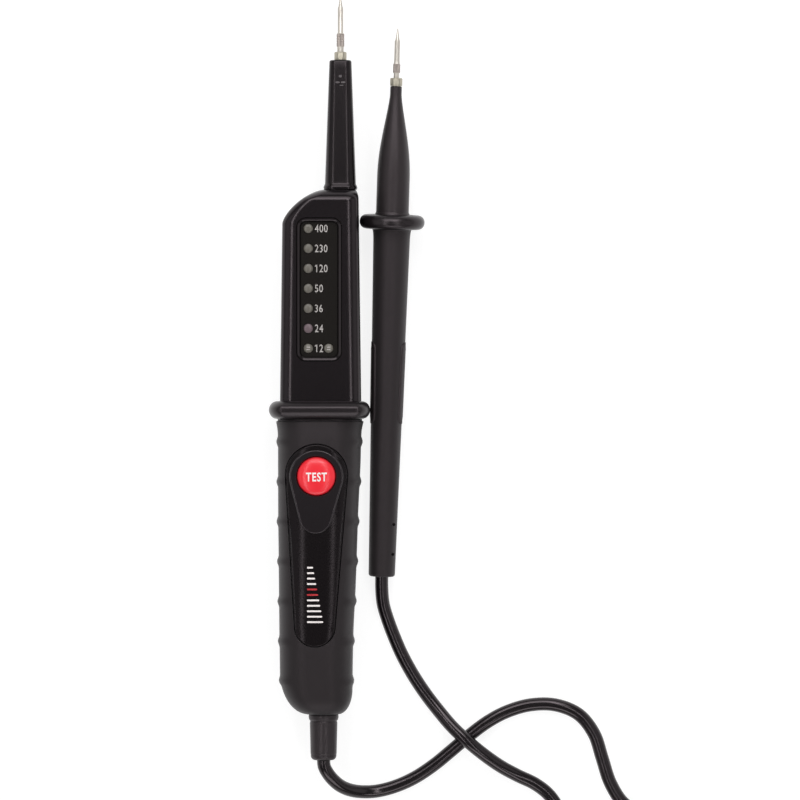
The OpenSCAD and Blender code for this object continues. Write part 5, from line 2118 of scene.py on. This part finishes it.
@dataclass
class Lead:
    """The lead between the two probes: two free stretches, a coil and its strap."""

    finishes: Finishes
    diameter: float = 4.8
    sides: int = 24
    exit_tester: Point = (1.4, -126.0, 12.8)
    exit_probe: Point = (22.2806, -60.0556, 4.87391)
    coil_x: float = 121.8
    coil_y: float = -179.0
    coil_r: float = 33.4
    coil_turns: float = 4.75
    coil_step: float = 5.4
    coil_rise: float = 5.3
    tie_t: float = 0.8
    tie_w: float = 7.0
    tester_route: tuple[Point, ...] = (
        (1.6, -128.2, 12.6), (2.8, -130.6, 11.9), (4.8, -133.2, 10.6), (7.6, -135.6, 8.7),
        (11.2, -137.2, 6.4), (15.6, -137.9, 4.2), (20.6, -137.7, 2.9), (27, -136.1, 2.4),
        (34, -133, 2.4), (41, -128.4, 2.4), (47.6, -123, 2.4), (54, -117.6, 2.4),
        (60.6, -112.7, 2.4), (67.6, -109, 2.4), (76, -106.6, 2.4), (85, -106.6, 2.4),
        (93.4, -110, 2.4), (99, -117, 2.4), (102, -126, 2.4), (105, -135, 2.5),
        (110, -142.4, 2.9))
    probe_route: tuple[Point, ...] = (
        (22.3, -64.5, 4.4), (22.8, -70, 3.4), (24.2, -75, 2.6), (26.4, -81, 2.4),
        (29.4, -88, 2.4), (33.4, -95.4, 2.4), (38, -102.4, 2.8), (42.8, -108.6, 4.2),
        (47.8, -114.4, 6.3), (53.4, -119.6, 7.7), (59.2, -124.4, 6.3), (65.4, -128.8, 4.2),
        (71.6, -132.2, 2.8), (77.8, -135.2, 2.4), (83, -139.4, 2.4), (86.6, -145.4, 2.6),
        (88, -152.6, 3.6), (88.3, -160.2, 5.8), (88.4, -167.6, 8))

    @property
    def coil_z(self) -> float:
        """Height of the lower turns' middle line."""
        return self.diameter / 2 + self.tie_t + FIT_GAP

    def coil_point(self, n: float) -> Point:
        """A point n turns along the coil: in on the table, then out again on top.

        Args:
            n: The number of turns.

        Returns:
            The point.
        """
        half = self.coil_turns / 2
        inward = min(n, half) - max(n - half, 0)
        up = self.coil_rise * clamp01((n - half) * 2 + 0.5)
        r = self.coil_r - self.coil_step * inward
        a = math.radians(90 - 360 * n)
        return (self.coil_x + r * math.cos(a), self.coil_y + r * math.sin(a), self.coil_z + up)

    def coil_points(self) -> list[Point]:
        """The coil's points with a straight end of one diameter at each side.

        Returns:
            The points in order.
        """
        count = round(self.coil_turns * 72)
        points = [self.coil_point(self.coil_turns * i / count) for i in range(count + 1)]
        first, last = points[0], points[-1]
        start = (first[0] - self.diameter, first[1], first[2])
        end = (last[0], last[1] + self.diameter, last[2])
        return [start, *points, end]

    def smooth(self, points: Sequence[Point], pitch: float = 1.4) -> list[Point]:
        """Rounds a route: a centripetal curve through its points, evenly stepped.

        Args:
            points: The route.
            pitch: About the distance between two new points.

        Returns:
            The points of the curve.
        """
        p = [Vector(q) for q in points]
        p = [p[0] * 2 - p[1], *p, p[-1] * 2 - p[-2]]
        out: list[Point] = []
        for a, b, c, d in zip(p, p[1:], p[2:], p[3:]):
            t0, t1 = 0.0, (b - a).length ** 0.5
            t2 = t1 + (c - b).length ** 0.5
            t3 = t2 + (d - c).length ** 0.5
            steps = max(1, round((c - b).length / pitch))
            for i in range(steps):
                t = mix(t1, t2, i / steps)
                a1 = a * ((t1 - t) / (t1 - t0)) + b * ((t - t0) / (t1 - t0))
                a2 = b * ((t2 - t) / (t2 - t1)) + c * ((t - t1) / (t2 - t1))
                a3 = c * ((t3 - t) / (t3 - t2)) + d * ((t - t2) / (t3 - t2))
                b1 = a1 * ((t2 - t) / (t2 - t0)) + a2 * ((t - t0) / (t2 - t0))
                b2 = a2 * ((t3 - t) / (t3 - t1)) + a3 * ((t - t1) / (t3 - t1))
                out.append(tuple(b1 * ((t2 - t) / (t2 - t1)) + b2 * ((t - t1) / (t2 - t1))))
        out.append(tuple(p[-2]))
        return out

    def tube(self, name: str, path: Sequence[Point]) -> Piece:
        """Sweeps the lead's round section along a path.

        Args:
            name: Name of the new object.
            path: Points of its middle line.

        Returns:
            The tube with its material.
        """
        piece = points_piece(name, path, linked=True)
        tree, names = sweep_tree()
        run_tree(piece, tree, names, {"Radius": self.diameter / 2 * MM, "Sides": self.sides,
                                      "Material": self.finishes.lead})
        return dress(piece, self.finishes.lead, math.radians(60))

    def length(self, path: Sequence[Point]) -> float:
        """Length of a path in metres."""
        return sum((Vector(b) - Vector(a)).length for a, b in zip(path, path[1:])) * MM

    def build(self) -> None:
        """Builds both stretches and the strap, and enters the first stretch and the strap."""
        coil = self.coil_points()
        first = self.smooth([self.exit_tester, *self.tester_route, coil[0]]) + coil[1:]
        piece = self.tube("lead_with_coil", first)
        enter(piece, Body.TESTER, Slot.LEAD, "lead_tester_side", "lead_coil")
        metres = self.length(first)
        strap = self.strap()
        tuple(v * MM for v in self.exit_tester)
        [tuple(v * MM for v in q) for q in first]
        LOG.info("lead with coil: %.3f m", metres)
        second = self.smooth([self.exit_probe, *self.probe_route, coil[-1]])
        piece = self.tube("lead_to_second_probe", second)
        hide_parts("lead_probe_side")
        tuple(v * MM for v in coil[-1])
        tuple(v * MM for v in self.exit_probe)
        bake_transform(piece)
        metres = self.length(second)
        tuple(v * MM for v in self.exit_probe)
        [tuple(v * MM for v in q) for q in second]
        LOG.info("lead to second probe: %.3f m", metres)

    def strap(self) -> Piece:
        """The hook-and-loop strap round the turns, with its free end lapped on top.

        Returns:
            The strap.
        """
        lead_r = self.diameter / 2
        inner = self.coil_r - self.coil_step * self.coil_turns / 2 - lead_r - 0.3
        outer = self.coil_r + lead_r + 0.3
        high = self.diameter + self.coil_rise + 2 * FIT_GAP
        mid_x, mid_z = self.coil_x + (inner + outer) / 2, self.tie_t + high / 2
        pieces = []
        outline = rounded_outline(outer - inner, high, 2.0, 12)
        count = len(outline)
        for name, picks, lift, closed in (("band", range(count), 0.0, True),
                                          ("lap", range(6, 20), self.tie_t + 0.05, False)):
            rings = []
            for k in picks:
                x, z = outline[k % count]
                before, after = outline[(k - 1) % count], outline[(k + 1) % count]
                tangent = Vector((after[0] - before[0], after[1] - before[1])).normalized()
                normal = Vector((tangent.y, -tangent.x))
                ring = []
                for w, t in rounded_outline(self.tie_w, self.tie_t, 0.3, 4):
                    out = lift + self.tie_t / 2 + t
                    ring.append((mid_x + x + normal.x * out, self.coil_y + w,
                                 mid_z + z + normal.y * out))
                rings.append(ring)
            pieces.append(ring_surface(name, rings, wrap=closed))
        piece = joined("lead_strap", pieces)
        # Yarns run along the strap and across it
        layer = piece.data.uv_layers.new(name="weave")
        for loop in piece.data.loops:
            co = piece.data.vertices[loop.vertex_index].co
            layer.data[loop.index].uv = (co.x + co.z, co.y)
        return finish(piece, self.finishes.strap, Body.TESTER, Slot.RUBBER, "coil_tie")


@dataclass
class Inside:
    """The pieces inside, which keep their CAD meshes."""

    finishes: Finishes

    def build(self) -> None:
        """Dresses every inner node."""
        f = self.finishes
        for node, material in (
                ("circuit_board", f.board), ("board_resistors", f.part), ("logic_chip", f.chip),
                ("switch_body", f.chip), ("switch_plunger", f.part), ("pin_clip", f.brass),
                ("cable_clamp", f.handle), ("inner_lead", f.lead), ("inner_wires", f.wire),
                ("second_contact_rod", f.brass), ("second_inner_lead", f.lead),
                ("second_end_bush", f.relief)):
            dress_node(node, material)


@dataclass
class Studio:
    """The camera over the tester, the pale floor and wall and the soft boxes, in millimetres."""

    view_width: float = 288.0
    middle: Flat = (28.89, 3.6)
    aim_z: float = 12.0
    lit_spot: Point = (20, 0, 10)
    lens: float = 300.0
    sensor: float = 36.0
    world_level: float = 0.23
    floor_r: float = 20000.0
    wall_h: float = 3000.0
    glow: float = 0.85
    paint: float = 0.24

    def build(self) -> None:
        """Builds camera, floor, lights and world."""
        scene = bpy.context.scene
        scene.view_settings.view_transform = "Standard"
        data = bpy.data.cameras.new("camera")
        data.lens = self.lens
        data.sensor_width = self.sensor
        data.clip_end = 2 * self.floor_r * MM
        data.dof.use_dof = False
        camera = bpy.data.objects.new("camera", data)
        away = self.view_width * self.lens / self.sensor
        camera.location = Vector((*self.middle, self.aim_z + away)) * MM
        scene.collection.objects.link(camera)
        scene.camera = camera
        self.floor()
        self.world()
        for name, at, size, level in (("box_left", (-560, 20, 420), (820, 420), 0.4),
                                      ("box_right", (640, 20, 420), (820, 420), 0.5),
                                      ("strip_left", (-220, 20, 560), (900, 50), 6.5),
                                      ("strip_right", (200, 20, 560), (900, 50), 5.5),
                                      ("box_top", (20, 470, 450), (620, 340), 2.4),
                                      ("box_high", (40, 345, 580), (380, 120), 4.0),
                                      ("strip_low", (60, -700, 440), (760, 260), 2.6)):
            self.soft_box(name, at, size, level)

    def soft_box(self, name: str, at: Point, size: Flat, level: float) -> None:
        """One soft box that faces the tester.

        Args:
            name: Name of the light.
            at: Its middle, in millimetres.
            size: Its level side and its sloping side.
            level: Brightness of its face, where 1 is white.
        """
        data = bpy.data.lights.new(name, "AREA")
        data.shape = "RECTANGLE"
        data.size, data.size_y = size[0] * MM, size[1] * MM
        data.energy = level * math.pi * data.size * data.size_y
        lamp = bpy.data.objects.new(name, data)
        lamp.location = Vector(at) * MM
        aim = Vector(self.lit_spot) * MM - lamp.location
        lamp.rotation_euler = aim.to_track_quat("-Z", "Y").to_euler()
        lamp.visible_camera = False
        bpy.context.scene.collection.objects.link(lamp)

    def floor(self) -> None:
        """A round floor with a low wall: they glow white to the eye and keep a shadow."""
        sides, floor_t, inside = 48, 200, 0.99
        turn = [2 * math.pi * i / sides for i in range(sides)]
        rings = [[(self.floor_r * math.cos(t), self.floor_r * math.sin(t), z) for t in turn]
                 for z in (-floor_t, self.wall_h)]
        rings += [[(x * inside, y * inside, z) for x, y, _ in rings[1]] for z in (self.wall_h, 0)]
        floor = ring_surface("floor_and_wall", rings)
        made, tree = new_material("floor_pale_board")
        path = add_node(tree, "ShaderNodeLightPath")
        seen = path.outputs["Is Camera Ray"]
        for ray in ("Is Glossy Ray", "Is Transmission Ray"):
            seen = add_node(tree, "ShaderNodeMath", {0: seen, 1: path.outputs[ray]},
                            operation="MAXIMUM").outputs[0]
        level = add_node(tree, "ShaderNodeMath", {0: seen, 1: self.glow}, operation="MULTIPLY")
        grey = (self.paint, self.paint, self.paint, 1)
        paint = add_node(tree, "ShaderNodeBsdfDiffuse", {"Color": grey})
        glow = add_node(tree, "ShaderNodeEmission", {"Strength": level.outputs[0]})
        both = add_node(tree, "ShaderNodeAddShader", {0: paint.outputs[0], 1: glow.outputs[0]})
        add_node(tree, "ShaderNodeOutputMaterial", {"Surface": both.outputs[0]})
        floor.data.materials.append(made)

    def world(self) -> None:
        """An even grey room."""
        world = bpy.data.worlds.new("room")
        world.use_nodes = True
        tree = world.node_tree
        tree.nodes.clear()
        back = add_node(tree, "ShaderNodeBackground", {"Strength": self.world_level})
        add_node(tree, "ShaderNodeOutputWorld", {"Surface": back.outputs[0]})
        bpy.context.scene.world = world


def main() -> None:
    """Builds the studio and every sub-assembly in order."""
    logging.basicConfig(level=logging.INFO, format="%(message)s")
    finishes = Finishes()
    Studio().build()
    for part in (Lead(finishes), DisplayHousing(finishes), FingerGuard(finishes), Grip(finishes),
                 MainPin(finishes), StrainRelief(finishes), SecondProbe(finishes),
                 Inside(finishes)):
        part.build()


if __name__ == "__main__":
    main()
